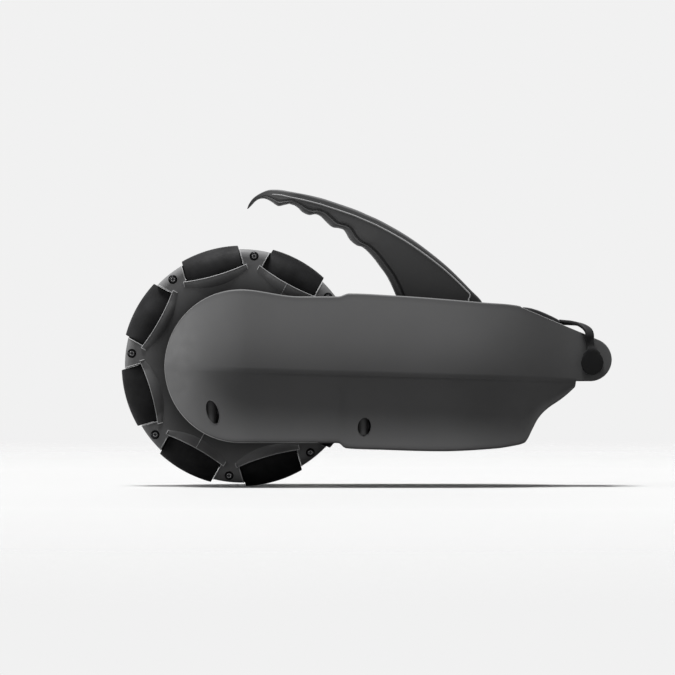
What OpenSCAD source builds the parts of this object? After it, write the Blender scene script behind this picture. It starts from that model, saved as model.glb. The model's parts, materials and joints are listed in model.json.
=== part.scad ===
// Power assist drive unit for a manual wheelchair.
// A hub motor turns one wheel with free rollers round its rim, so the chair can still turn on the spot.
// The nose hooks over a bar on the chair, and the handle on top carries the unit.

/* [Wheel] */
// Diameter of the circle that the rollers run on
wheel_d = 190; // [188:1:192]
// Diameter of the two wheel plates
plate_d = 184; // [182:1:186]
// Width over the flat faces of the wheel plates
plate_w = 37; // [36:0.5:37.5]
// Largest diameter of a roller
roller_d = 38.4; // [38:0.2:39]
// Length of a roller
roller_len = 46; // [44:0.5:46.5]
// Diameter of the fixed pin through each roller
pin_d = 6; // [5:0.5:6.5]
// Angle of the first roller above the forward line
wheel_turn = 16; // [14:1:20]

/* [Hub motor] */
// Outer diameter of the turning motor can
motor_d = 108; // [106:1:108]
// Diameter of the fixed axle
axle_d = 15; // [14:0.5:16]
// Outer diameter of a hub bearing
bearing_d = 32; // [30:1:33]

/* [Body] */
// Distance from the axle forward to the docking bar
wheel_to_dock = 274; // [270:1:282]
// Height of the docking bar above the axle
dock_rise = 5; // [4:0.5:6]
// Diameter of the round arm ends beside the wheel
arm_d = 120; // [118:1:122]
// Overall width of the body
body_w = 134; // [130:1:138]
// Width of the nose
nose_w = 58; // [57:0.5:60]
// Diameter of the rounded nose, seen from the side
nose_d = 34; // [33:0.5:35]
// Wall of the two shells
wall = 2.6; // [2.4:0.1:2.8]
// Clear width between the two arm plates
wheel_gap = 51; // [50.5:0.5:52]
// Thickness of an arm plate
arm_t = 5.5; // [5:0.5:6]

/* [Handle] */
// Height of the handle's top above the axle
handle_h = 139; // [136:1:142]
// Width of the grip
handle_w = 26; // [24:1:28]

/* [Dock] */
// Diameter of the bore that holds the docking bar
dock_d = 16.2; // [15.8:0.1:16.4]
// Width of the dock head between the nose cheeks
dock_w = 35; // [34:0.5:35.5]
// Width of the throat that the flattened bar passes
throat_w = 10; // [9:0.5:10]

/* [Battery] */
// Diameter of a battery cell
cell_d = 18.4; // [18:0.1:18.6]
// Length of a battery cell
cell_len = 65; // [64:0.5:66]

/* [Controls and charging] */
// Width of the control panel on the slope of the nose
panel_w = 24; // [22:1:26]
// Diameter of the power button
button_d = 12; // [11:0.5:13]
// Travel of the power button
button_travel = 1.2; // [0.8:0.1:1.4]
// Diameter of the charge cap
cap_d = 17.4; // [17:0.2:18]
// Inner diameter of the charge socket
socket_d = 11.6; // [11.4:0.1:11.8]

/* [Hidden] */
$fn = 96;

// General clearances
fit = 0.05;
gap = 0.3;
seam = 0.05;
far = 400;

// Radii and half widths
wheel_r = wheel_d / 2;
axle_r = axle_d / 2;
bearing_r = bearing_d / 2;
motor_r = motor_d / 2;
plate_r = plate_d / 2;
roller_r = roller_d / 2;
arm_r = arm_d / 2;
nose_r = nose_d / 2;
dock_r = dock_d / 2;
pin_r = pin_d / 2;
cell_r = cell_d / 2;
arm_in = wheel_gap / 2;
arm_out = arm_in + arm_t;
dock_hw = dock_w / 2;
slot_hw = dock_hw + 2 * gap;
nose_hw = nose_w / 2;
side_room = body_w / 2 - arm_out;

// Wheel layout
roller_count = 8;
roller_step = 360 / roller_count;
roller_axis_r = wheel_r - roller_r;
pocket_room = 0.9;
hump_wall = 0.9;
roller_half_turn = asin(roller_len / 2 / wheel_r);
function turn_off(k, way) = abs((wheel_turn + roller_step * k - way + 540) % 360 - 180);
function wheel_reach(way) =
  wheel_r * max([for (k = [0:roller_count - 1]) cos(max(0, turn_off(k, way) - roller_half_turn))]);
axle_z = wheel_reach(270);
wheel_x = (wheel_reach(180) - wheel_to_dock - nose_r) / 2;

// Flat frame: X forward and Y up from the axle, Z towards the right-hand side
module flat() { translate([wheel_x, 0, axle_z]) rotate([90, 0, 0]) children(); }
module other_side() { mirror([0, 0, 1]) children(); }
module both_sides() {
  children();
  other_side() children();
}

// Side outline of the body, as shares of the dock distance and the arm radius
top_shares = [[0, 1], [0.168, 0.908], [0.277, 0.908], [0.309, 0.948], [0.432, 0.922],
  [0.692, 0.83], [0.796, 0.785]];
slope_shares = [0.803, 0.767];
bottom_shares = [[0, -1], [0.277, -1], [0.299, -1.067], [0.401, -1.087], [0.569, -1.107],
  [0.726, -1.073], [0.777, -1.04], [0.81, -1], [0.819, -0.95], [0.831, -0.843], [0.848, -0.698],
  [0.865, -0.605], [0.882, -0.54], [0.916, -0.437], [0.95, -0.305], [0.957, -0.27]];
notch_share = 0.96;
function placed(s) = [s[0] * wheel_to_dock, s[1] * arm_r];
dock = [wheel_to_dock, dock_rise];
nose_low = dock_rise - nose_r;
slope_at = placed(slope_shares);
to_dock = dock - slope_at;
slope_a = atan2(-to_dock[1], to_dock[0]) - asin(nose_r / norm(to_dock));
top_edge = concat([for (s = top_shares) placed(s)], [slope_at]);
bottom_edge = concat([for (s = bottom_shares) placed(s)],
  [[notch_share * wheel_to_dock, nose_low], [wheel_to_dock, nose_low]]);
function slope_z(x) = slope_at[1] - (x - slope_at[0]) * tan(slope_a);
function round_z(r, x) = sqrt(max(0, r * r - x * x));
function top_z(x, t) =
  x < 0 ? round_z(arm_r - t, x)
  : x < slope_at[0] ? lookup(x, top_edge) - t
  : x < dock[0] + (nose_r - t) * sin(slope_a) ? slope_z(x) - t / cos(slope_a)
  : dock[1] + round_z(nose_r - t, x - dock[0]);
function bottom_z(x, t) =
  x < 0 ? -round_z(arm_r - t, x)
  : x < dock[0] ? lookup(x, bottom_edge) + t
  : dock[1] - round_z(nose_r - t, x - dock[0]);

// Half width of the body along its length
dome_x = 6;
dome_in = 33;
taper_shares = [0.44, 0.95];
taper_x = taper_shares[0] * wheel_to_dock;
taper_end = taper_shares[1] * wheel_to_dock;
taper_power = 2.2;
function portion(v, whole) = min(1, max(0, v / whole));
function taper(x) = (1 - cos(180 * pow(portion(x - taper_x, taper_end - taper_x), taper_power))) / 2;
function half_w(x) = x < dome_x
  ? body_w / 2 - dome_in * pow(1 - (x + arm_r) / (dome_x + arm_r), 2)
  : body_w / 2 - (body_w / 2 - nose_hw) * taper(x);

// Flanks: lean in above the crease line, a shelf and a hollow below it
crease_drop = -4.2;
crease_fall_share = 0.029;
crease_low_share = 0.4;
crease_room = 4;
crease_end_shares = [-0.75, 0.1];
lean_in = 11;
lean_shares = [1.5, -0.5];
tuck_in = 12;
tuck_shares = [1, -0.14, -0.74];
shelf_in = 1.2;
shelf_least = 0.1;
shelf_run = 20;
edge_r = 2.5;
edge_share = 0.25;
nose_sharp = 1;
function crease_line(x) = crease_drop - crease_fall_share * x;
function crease_z(x, t) = max(crease_line(x),
  bottom_z(x, t) + min(crease_room, crease_low_share * (top_z(x, t) - bottom_z(x, t))));
function crease_depth(x) = (crease_line(x) - bottom_z(x, 0)) * (1 - cos(180
  * portion(x / arm_r - crease_end_shares[0], crease_end_shares[1] - crease_end_shares[0]))) / 2;
function lean(x) = lean_in * (1 - taper(x)) * portion(top_z(x, 0) - crease_line(x), arm_r);
function tuck(x) = tuck_in * portion(crease_depth(x), arm_r);
function shelf(x) = max(shelf_least, shelf_in * portion(crease_depth(x), shelf_run));
function flank(x, z, t) =
  let (c = crease_z(x, t), up = portion(z - c, top_z(x, t) - c), low = portion(c - z, c - bottom_z(x, t)))
  half_w(x) - t - (z >= c ? lean(x) * up * up * (lean_shares[0] + lean_shares[1] * up)
    : shelf(x) + tuck(x) * low * (tuck_shares[0] + tuck_shares[1] * low + tuck_shares[2] * low * low));

// Openings along the centre line of the shells
arch_room = 5;
arch_t = 2.4;
arch_r = wheel_r + arch_room;
arch_top_x = sqrt(arch_r * arch_r - top_shares[3][1] * top_shares[3][1] * arm_r * arm_r) + gap;
arch_low_x = sqrt(arch_r * arch_r - bottom_shares[2][1] * bottom_shares[2][1] * arm_r * arm_r) + gap;
handle_room = 0.8;
grip_base_share = 0.88;
handle_hole = grip_base_share * handle_w / 2 + handle_room;
handle_shares = [0.443, 0.697];
handle_from = handle_shares[0] * wheel_to_dock;
handle_to = handle_shares[1] * wheel_to_dock;
panel_shares = [0.808, 0.918];
panel_from = panel_shares[0] * wheel_to_dock;
panel_to = panel_shares[1] * wheel_to_dock;
slot_room = 16.3;
slot_from = panel_to + slot_room;
step_run = 0.2;
function inside(x, from, to) = x > from && x < to;
function top_rim(x) =
  x < arch_top_x ? arm_in
  : inside(x, handle_from, handle_to) ? handle_hole
  : inside(x, panel_from, panel_to) ? panel_w / 2 + gap
  : x > slot_from ? slot_hw : seam;
function bottom_rim(x) = x < arch_low_x ? arm_in : x > notch_share * wheel_to_dock ? slot_hw : seam;

// Stations along the shell, closer together at the round ends and at each step
end_turns = [2, 6, 13, 22, 33, 46, 60, 76];
nose_turns = [6, 14, 24, 36, 50, 70];
mid_shares = [0.02, 0.09, 0.22, 0.36, 0.5, 0.64, 0.745, 0.9, 0.925, 0.97, 0.985];
rim_steps = [arch_top_x, arch_low_x, handle_from, handle_to, panel_from, panel_to, slot_from,
  notch_share * wheel_to_dock];
function sorted(v) = len(v) < 2 ? v
  : let (p = v[floor(len(v) / 2)])
    concat(sorted([for (x = v) if (x < p) x]), [p], sorted([for (x = v) if (x > p) x]));
function spaced(v) = [for (k = [0:len(v) - 1]) if (k == 0 || v[k] - v[k - 1] > step_run) v[k]];
stations = spaced(sorted(concat(
  [for (a = end_turns) -arm_r * cos(a)],
  [for (s = mid_shares) s * wheel_to_dock],
  [for (p = top_edge) p[0]],
  [for (p = bottom_edge) p[0]],
  [for (x = rim_steps) x - step_run],
  [for (x = rim_steps) x + step_run],
  [for (a = nose_turns) dock[0] + nose_r * cos(a)])));
up_steps = 5;
low_steps = 6;
arc_turns = [0, 30, 60, 90];
function section(x, t, rim_x) =
  let (zt = top_z(x, t), zb = bottom_z(x, t), zc = crease_z(x, t),
    f = min(edge_r - nose_sharp * taper(x), edge_share * (zt - zb)) - t * edge_share,
    yt = flank(x, zt - f, t), yb = flank(x, zb + f, t),
    low_top = zc - shelf(x))
  concat(
    [[x, zt, top_rim(rim_x)]],
    [for (a = arc_turns) [x, zt - f * (1 - cos(a)), yt - f * (1 - sin(a))]],
    [for (k = [1:up_steps]) let (z = zt - f + (zc - zt + f) * k / up_steps) [x, z, flank(x, z, t)]],
    [for (k = [0:low_steps - 1]) let (z = low_top + (zb + f - low_top) * k / low_steps)
      [x, z, flank(x, z, t) - (k == 0 ? shelf(x) : 0)]],
    [for (a = arc_turns) [x, zb + f * (1 - sin(a)), yb - f * (1 - cos(a))]],
    [[x, zb, bottom_rim(rim_x)]]);
shell_from = stations[0];
shell_to = stations[len(stations) - 1];
end_run = 20;
function inner_x(x) = x + wall * (portion(shell_from + end_run - x, end_run)
  - portion(x - shell_to + end_run, end_run));
function quad(a, b, c, d) = [[a, b, c], [a, c, d]];
function joined(lists) = [for (l = lists) for (f = l) f];

// One half of the casing as a closed skin with its wall thickness
module shell_skin() {
  outer = [for (x = stations) section(x, 0, x)];
  inner = [for (x = stations) section(inner_x(x), wall, x)];
  n = len(outer);
  m = len(outer[0]);
  e = m - 1;
  in0 = n * m;
  faces = joined(concat(
    [for (i = [0:n - 2]) for (j = [0:m - 2])
      quad(i * m + j, (i + 1) * m + j, (i + 1) * m + j + 1, i * m + j + 1)],
    [for (i = [0:n - 2]) for (j = [0:m - 2])
      quad(in0 + i * m + j, in0 + i * m + j + 1, in0 + (i + 1) * m + j + 1, in0 + (i + 1) * m + j)],
    [for (i = [0:n - 2]) quad(i * m, in0 + i * m, in0 + (i + 1) * m, (i + 1) * m)],
    [for (i = [0:n - 2]) quad((i + 1) * m + e, in0 + (i + 1) * m + e, in0 + i * m + e, i * m + e)],
    [for (j = [0:m - 2]) quad(j + 1, in0 + j + 1, in0 + j, j)],
    [for (j = [0:m - 2]) let (o = (n - 1) * m) quad(o + j, in0 + o + j, in0 + o + j + 1, o + j + 1)]));
  polyhedron(points = concat(joined(outer), joined(inner)), faces = faces);
}

// Screw wells that hold each shell to its arm plate
well_shares = [[-0.08, -0.6], [0.352, -0.79]];
well_w = 11;
well_drops = [7, 3];
well_tilts = [12, 0];
well_wall = 2;
well_floor = 3;
tilt_run = 4;
screw_r = 2;
screw_head_r = 4;
screw_head_t = 3;
socket_r = 1.6;
socket_deep = 1.8;
function well_at(k) = placed(well_shares[k]);
module well_outline(k, grow) {
  rotate([0, 0, well_tilts[k]]) {
    for (s = [-1, 1]) translate([0, s * well_drops[k] / 2]) circle(r = well_w / 2 + grow);
    square([well_w + 2 * grow, well_drops[k]], center = true);
  }
}
module well_tube(k) {
  p = well_at(k);
  dx = (flank(p[0] + tilt_run, p[1], 0) - flank(p[0] - tilt_run, p[1], 0)) / 2 / tilt_run;
  dz = (flank(p[0], p[1] + tilt_run, 0) - flank(p[0], p[1] - tilt_run, 0)) / 2 / tilt_run;
  intersection() {
    translate([p[0], p[1], arm_out]) linear_extrude(far) well_outline(k, well_wall);
    translate([p[0], p[1], flank(p[0], p[1], 0) - wall / 2]) rotate([atan(dz), -atan(dx), 0])
      translate([-far / 2, -far / 2, -far]) cube([far, far, far]);
  }
}
module well_bore(k) {
  p = well_at(k);
  translate([p[0], p[1], arm_out + well_floor]) linear_extrude(far) well_outline(k, 0);
  translate([p[0], p[1], 0]) cylinder(r = screw_r + gap, h = far);
}
module shell_base() {
  difference() {
    union() {
      shell_skin();
      for (k = [0, 1]) well_tube(k);
    }
    for (k = [0, 1]) well_bore(k);
  }
}

// Charge socket in the right-hand cheek, on the centre of the nose
socket_ahead = 1.5;
socket_drop = 1.5;
socket_at = [wheel_to_dock + socket_ahead, dock_rise - socket_drop];
socket_wall = 1.6;
socket_r_out = socket_d / 2 + socket_wall;
socket_flange = 2;
socket_flange_t = 2;
socket_floor = 2.4;
socket_low = slot_hw + gap;
window_r = 11;
module right_shell() {
  color("dimgray") flat() difference() {
    shell_base();
    translate([socket_at[0], socket_at[1], slot_hw]) cylinder(r = socket_r_out + fit, h = far);
  }
}
cheek_edge = 4;
cheek_from = dock[0] - window_r - cheek_edge;
module left_shell() {
  color("dimgray") flat() other_side() difference() {
    shell_base();
    translate([cheek_from, -far / 2, -far / 2]) cube([far, far, far]);
  }
}
module left_cheek() {
  color("gray") flat() other_side() difference() {
    shell_skin();
    translate([cheek_from + seam - far, -far / 2, -far / 2]) cube([far, far, far]);
    translate([dock[0], dock[1], slot_hw - wall]) cylinder(r = window_r, h = far);
  }
}

// Arm plates: a round end at the axle, a rail to the dock head and a lug for the front screw
arm_room = 2.5;
rail_low = 12;
rail_from = 40;
rail_shares = [[0.1, 0.85], [0.28, 0.78], [0.66, 0.7], [0.81, 0.6], [0.86, 0.25], [0.86, -0.14],
  [0.79, -0.14]];
lug_hw = 7.3;
lug_from = well_at(1)[0] - lug_hw;
lug_to = well_at(1)[0] + lug_hw;
lug_low = well_at(1)[1] - lug_hw;
bolt_r = 3;
bolt_spots = [[0.53, 0.42], [0.65, 0.42], [0.815, 0.36], [0.815, 0.04]];
module arm_plate() {
  translate([0, 0, arm_in]) difference() {
    union() {
      cylinder(r = arm_r - wall - arm_room, h = arm_t);
      linear_extrude(arm_t) polygon(concat([for (s = rail_shares) placed(s)],
        [[placed(rail_shares[6])[0], rail_low], [lug_to, rail_low], [lug_to, lug_low], [lug_from, lug_low],
         [lug_from, 0], [rail_from, 0]]));
    }
    translate([0, 0, -gap]) {
      cylinder(r = axle_r + fit, h = far);
      for (s = bolt_spots) translate(placed(s)) cylinder(r = bolt_r + fit, h = far);
      for (k = [0, 1]) translate(well_at(k)) cylinder(r = screw_r + fit, h = far);
    }
  }
}
module right_arm() { color("silver") flat() arm_plate(); }
module left_arm() { color("silver") flat() other_side() arm_plate(); }

// Liner over the wheel, between the arm plates
module wheel_arch() {
  high = asin((top_shares[3][1] * arm_r - 2 * wall) / (arch_r + arch_t));
  low = asin((bottom_shares[2][1] * arm_r + 2 * wall) / (arch_r + arch_t));
  color("dimgray") flat() translate([0, 0, seam - arm_in]) rotate([0, 0, low])
    rotate_extrude(angle = high - low) translate([arch_r, 0]) square([arch_t, wheel_gap - 2 * seam]);
}

// Dock head: a block bolted between the rails, with the bar's bore and throat at the nose
head_room = 1.4;
head_r = nose_r - head_room;
flange_shares = [[0.79, 0.47], [0.84, 0.4], [0.86, 0.25], [0.86, -0.14], [0.79, -0.14]];
neck_shares = [[0.84, 0.4], [0.94, 0.24], [0.955, -0.13], [0.89, -0.33], [0.84, -0.14]];
module dock_head() {
  color("silver") flat() difference() {
    union() {
      translate([dock[0], dock[1], -dock_hw]) cylinder(r = head_r, h = dock_w);
      translate([0, 0, -dock_hw]) linear_extrude(dock_w) polygon(concat(
        [placed(neck_shares[0]), placed(neck_shares[1]), dock + [0, head_r], dock - [0, head_r]],
        [for (k = [2:4]) placed(neck_shares[k])]));
      translate([0, 0, seam - arm_in]) linear_extrude(wheel_gap - 2 * seam)
        polygon([for (s = flange_shares) placed(s)]);
    }
    translate([dock[0], dock[1], -far / 2]) cylinder(r = dock_r, h = far);
    translate([dock[0] - throat_w / 2, dock[1] - far, -far / 2]) cube([throat_w, far, far]);
    for (k = [2, 3]) translate(placed(bolt_spots[k])) translate([0, 0, -far / 2])
      cylinder(r = bolt_r + fit, h = far);
  }
}

// Fixed axle with its spacers and nuts
axle_end_share = 0.417;
axle_end = arm_out + axle_end_share * side_room;
cable_r = 3.2;
cable_hole = 30;
spacer_wall = 3;
nut_r = 13;
nut_t = 8;
washer_r = 14;
washer_t = 2;
bearing_in = 0.9;
bearing_out = plate_w / 2 - bearing_in;
bearing_w = 9;
boss_wall = 3.5;
module axle() {
  color("lightgray") flat() difference() {
    translate([0, 0, -axle_end]) cylinder(r = axle_r, h = 2 * axle_end);
    translate([0, 0, axle_end - cable_hole]) cylinder(r = cable_r + fit, h = cable_hole);
  }
}
module axle_spacers() {
  color("lightgray") flat() both_sides() translate([0, 0, bearing_out + gap]) difference() {
    cylinder(r = axle_r + spacer_wall, h = arm_in - bearing_out - gap);
    translate([0, 0, -gap]) cylinder(r = axle_r + fit, h = far);
  }
}
module axle_nuts() {
  color("lightgray") flat() both_sides() translate([0, 0, arm_out]) difference() {
    union() {
      cylinder(r = washer_r, h = washer_t);
      cylinder(r = nut_r, h = washer_t + nut_t, $fn = 6);
    }
    translate([0, 0, -gap]) cylinder(r = axle_r + fit, h = far);
  }
}

// Stator: twelve wound teeth on a spider, inside the turning can and its magnets
cover_t = 3.5;
rotor_w = plate_w - 2 * cover_t;
can_t = 4;
poles = 14;
magnet_w_share = 0.315;
magnet_w = magnet_w_share * motor_r;
magnet_t = 2.2;
magnet_in = 3;
magnet_h = rotor_w - 2 * magnet_in;
can_in = motor_r - can_t;
magnet_face = sqrt(can_in * can_in - magnet_w * magnet_w / 4) - fit;
teeth = 12;
stack_in = 5;
stack = rotor_w - 2 * stack_in;
spider_room = 2.1;
spider_t = 2 * (bearing_out - bearing_w - spider_room);
back_room = 1.1;
back_t = 5.4;
back_in = bearing_r + boss_wall + back_room;
back_out = back_in + back_t;
air_gap = 2.4;
tooth_w = 6;
tooth_tip_r = magnet_face - magnet_t - air_gap;
tip_w_share = 0.36;
tip_w = tip_w_share * tooth_tip_r;
tip_t = 2.4;
coil_t = 3.2;
coil_room = 1.4;
coil_end = 0.6;
coil_in = 1.5;
coil_from = back_out + coil_room;
coil_to = tooth_tip_r - tip_t - coil_end;
coil_h = rotor_w - 2 * coil_in;
module stator_core() {
  color("slategray") flat() {
    difference() {
      translate([0, 0, -spider_t / 2]) cylinder(r = back_in + gap, h = spider_t);
      translate([0, 0, -far / 2]) cylinder(r = axle_r + fit, h = far);
    }
    translate([0, 0, -stack / 2]) linear_extrude(stack) {
      difference() {
        circle(r = back_out);
        circle(r = back_in);
      }
      for (k = [1:teeth]) rotate([0, 0, k * 360 / teeth]) {
        translate([back_in + gap, -tooth_w / 2]) square([tooth_tip_r - back_in - gap, tooth_w]);
        translate([tooth_tip_r - tip_t, -tip_w / 2]) square([tip_t, tip_w]);
      }
    }
  }
}
module stator_windings() {
  color("peru") flat() for (k = [1:teeth]) rotate([0, 0, k * 360 / teeth]) difference() {
    translate([coil_from, -tooth_w / 2 - coil_t, -coil_h / 2])
      cube([coil_to - coil_from, tooth_w + 2 * coil_t, coil_h]);
    translate([0, -tooth_w / 2, -stack / 2]) cube([far, tooth_w, stack]);
  }
}

// Turning part of the motor
module rotor_can() {
  color("gray") flat() translate([0, 0, -rotor_w / 2]) difference() {
    cylinder(r = motor_r, h = rotor_w);
    translate([0, 0, -gap]) cylinder(r = can_in, h = far);
  }
}
module rotor_magnets() {
  color("darkgray") flat() for (k = [1:poles]) rotate([0, 0, k * 360 / poles])
    translate([magnet_face - magnet_t, -magnet_w / 2, -magnet_h / 2]) cube([magnet_t, magnet_w, magnet_h]);
}
cover_in = 0.2;
cover_out = plate_w / 2 - cover_in;
cover_lip = 3;
module hub_cover() {
  low = bearing_out - bearing_w;
  rotate_extrude() polygon([[bearing_r - cover_lip, cover_out], [motor_r, cover_out],
    [motor_r, rotor_w / 2], [bearing_r + boss_wall, rotor_w / 2], [bearing_r + boss_wall, low],
    [bearing_r + fit, low], [bearing_r + fit, bearing_out], [bearing_r - cover_lip, bearing_out]]);
}
module right_hub_cover() { color("dimgray") flat() hub_cover(); }
module left_hub_cover() { color("dimgray") flat() other_side() hub_cover(); }
module hub_bearings() {
  color("lightgray") flat() both_sides() translate([0, 0, bearing_out - bearing_w]) difference() {
    cylinder(r = bearing_r, h = bearing_w);
    translate([0, 0, -gap]) cylinder(r = axle_r + fit, h = far);
  }
}

// Wheel plates: two halves that clamp the roller pins, with a hump over each roller
rim_round = 7;
rim_drop = 5;
rim_turns = [0, 25, 50, 70, 90];
pocket_len = roller_len + 2 * pocket_room;
pin_grip = 4.5;
pin_len = pocket_len + 2 * pin_grip;
post_in = 5;
post_r = plate_r - post_in;
post_screw_r = 2;
post_head_r = 3.3;
post_head_deep = 2.6;
post_screw_len = 14;
barrel_steps = 6;
function barrel_r(t) = sqrt(wheel_r * wheel_r - t * t) - roller_axis_r;
module barrel(length, grow, bore) {
  spots = [for (k = [0:barrel_steps]) length * k / barrel_steps - length / 2];
  rotate_extrude() polygon(concat([[bore, -length / 2]],
    [for (t = spots) [barrel_r(t) + grow, t]], [[bore, length / 2]]));
}
module at_roller(k) {
  rotate([0, 0, wheel_turn + roller_step * (k - 1)]) translate([roller_axis_r, 0, 0])
    rotate([-90, 0, 0]) children();
}
module hump() {
  intersection() {
    barrel(pocket_len + hump_wall, pocket_room + hump_wall, 0);
    translate([-far, -far, -far / 2]) cube([far, far, far]);
  }
}
module pocket() {
  barrel(pocket_len, pocket_room, 0);
  translate([0, -far / 2, -pocket_len / 2]) cube([far, far, pocket_len]);
  translate([0, 0, -pin_len / 2]) cylinder(r = pin_r, h = pin_len);
}
module at_post(k) {
  rotate([0, 0, wheel_turn + roller_step * (k - 0.5)]) translate([post_r, 0, 0]) children();
}
module wheel_plate() {
  difference() {
    union() {
      rotate_extrude() polygon(concat([[motor_r + fit, 0], [plate_r, 0]],
        [for (a = rim_turns) [plate_r - rim_round * (1 - cos(a)), plate_w / 2 - rim_drop * (1 - sin(a))]],
        [[motor_r + fit, plate_w / 2]]));
      for (k = [1:roller_count]) at_roller(k) hump();
    }
    for (k = [1:roller_count]) at_roller(k) pocket();
    for (k = [1:roller_count]) at_post(k) {
      translate([0, 0, -far / 2]) cylinder(r = post_screw_r + fit, h = far);
      translate([0, 0, plate_w / 2 - post_head_deep]) cylinder(r = post_head_r + gap, h = far);
    }
  }
}
module right_wheel_plate() { color("dimgray") flat() wheel_plate(); }
module left_wheel_plate() { color("dimgray") flat() other_side() wheel_plate(); }
module plate_screws() {
  top = plate_w / 2 - post_head_deep;
  color("black") flat() both_sides() for (k = [1:roller_count]) at_post(k) difference() {
    union() {
      translate([0, 0, top - post_screw_len]) cylinder(r = post_screw_r, h = post_screw_len + seam);
      translate([0, 0, top]) cylinder(r = post_head_r, h = post_head_deep - gap);
    }
    translate([0, 0, plate_w / 2 - socket_deep]) cylinder(r = socket_r, h = far, $fn = 6);
  }
}
module roller_pins() {
  color("silver") flat() for (k = [1:roller_count]) at_roller(k)
    translate([0, 0, -pin_len / 2]) cylinder(r = pin_r, h = pin_len);
}

// Free rollers: a rubber sleeve on a nylon core that turns on the pin
core_r = 11;
module roller(k) { color("black") flat() at_roller(k) barrel(roller_len, 0, core_r); }
module roller_core(k) {
  color("whitesmoke") flat() at_roller(k) difference() {
    translate([0, 0, -roller_len / 2]) cylinder(r = core_r, h = roller_len);
    translate([0, 0, -roller_len]) cylinder(r = pin_r + fit, h = 2 * roller_len);
  }
}

// Battery: staggered rows of cells between two end holders, as many as the room takes
cell_pitch = 20;
row_rise = cell_pitch * sin(60);
holder_deep = 4;
holder_floor = 2;
holder_edge = 1.2;
holder_back = 0.4;
cell_back = 2;
cell_front = 6;
cells_low_share = 0.85;
belly_end_share = 0.81;
cells_at = [arch_r + arch_t + holder_back + cell_back + cell_r, -cells_low_share * arm_r];
row_run = belly_end_share * wheel_to_dock - cell_front - cell_pitch / 2 - cell_r - cells_at[0];
row_cells = floor(row_run / cell_pitch) + 1;
rows = floor((rail_low - gap - cell_r - cells_at[1]) / row_rise) + 1;
module each_cell() {
  for (r = [0:rows - 1]) for (c = [0:row_cells - 1])
    translate([cells_at[0] + (c + (r % 2) / 2) * cell_pitch, cells_at[1] + r * row_rise]) children();
}
module battery_cells() {
  color("steelblue") flat() translate([0, 0, -cell_len / 2]) each_cell() cylinder(r = cell_r, h = cell_len);
}
module holder_plate() {
  translate([0, 0, cell_len / 2 - holder_deep]) difference() {
    linear_extrude(holder_deep + holder_floor) polygon([
      cells_at + [-cell_r - holder_back, -cell_r - holder_edge],
      cells_at + [(row_cells - 1) * cell_pitch + cell_r / 2, -cell_r - holder_edge],
      cells_at + [row_cells * cell_pitch - cell_pitch / 2 + cell_r / 2, row_rise - cell_r],
      [cells_at[0] + row_cells * cell_pitch - cell_pitch / 2 + cell_r / 2, rail_low],
      [cells_at[0] - cell_r - holder_back, rail_low]]);
    translate([0, 0, -gap]) each_cell() cylinder(r = cell_r + gap, h = holder_deep + gap);
  }
}
module battery_holders() { color("dimgray") flat() both_sides() holder_plate(); }

// Boards beside the wheel, one in each arm
board_at = [22, -26];
board_size = [76, 62];
board_t = 1.6;
standoff_h = 5;
standoff_r = 3;
standoff_in = 5;
board_low = arm_out + standoff_h;
board_top = board_low + board_t;
capacitor_r = 6;
capacitor_h_share = 0.36;
capacitor_h = capacitor_h_share * side_room;
capacitor_pitch = 15;
chip_size = [12, 12, 3];
chip_pitch = 22;
plug_h_share = 0.25;
plug_size = [10, 14, plug_h_share * side_room];
sink_size = [30, 44];
sink_base = 3;
sink_h_share = 0.306;
sink_h = sink_h_share * side_room;
fin_t = 1.6;
fins = 6;
lead_clear = 6;
module board() {
  translate([board_at[0], board_at[1], board_low]) cube([board_size[0], board_size[1], board_t]);
}
module controller_board() { color("darkgreen") flat() board(); }
module battery_board() { color("darkgreen") flat() other_side() board(); }
module board_standoffs() {
  color("goldenrod") flat() both_sides() for (x = [standoff_in, board_size[0] / 2])
    for (y = [standoff_in + lead_clear, board_size[1] - standoff_in])
      translate([board_at[0] + x, board_at[1] + y, arm_out]) cylinder(r = standoff_r, h = standoff_h);
}
module board_components() {
  color("black") flat() {
    for (k = [0:2]) translate([board_at[0] + board_size[0] - 2 * capacitor_r,
      board_at[1] + 2 * capacitor_r + k * capacitor_pitch, board_top])
      cylinder(r = capacitor_r, h = capacitor_h);
    translate([board_at[0] + standoff_in, board_at[1] + board_size[1] / 2, board_top]) cube(plug_size);
    other_side() for (k = [0:2]) translate([board_at[0] + standoff_in + k * chip_pitch,
      board_at[1] + board_size[1] / 2, board_top]) cube(chip_size);
    other_side() translate([board_at[0] + board_size[0] - plug_size[0] - standoff_in,
      board_at[1] + standoff_in, board_top]) cube(plug_size);
  }
}
module heat_sink() {
  x = board_at[0] + board_size[0] / 2 - sink_size[0] / 2;
  y = board_at[1] + board_size[1] - sink_size[1] - standoff_in;
  pitch = (sink_size[0] - fin_t) / (fins - 1);
  color("silver") flat() translate([x, y, board_top]) {
    cube([sink_size[0], sink_size[1], sink_base]);
    for (k = [0:fins - 1]) translate([k * pitch, 0, 0]) cube([fin_t, sink_size[1], sink_h]);
  }
}

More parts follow.
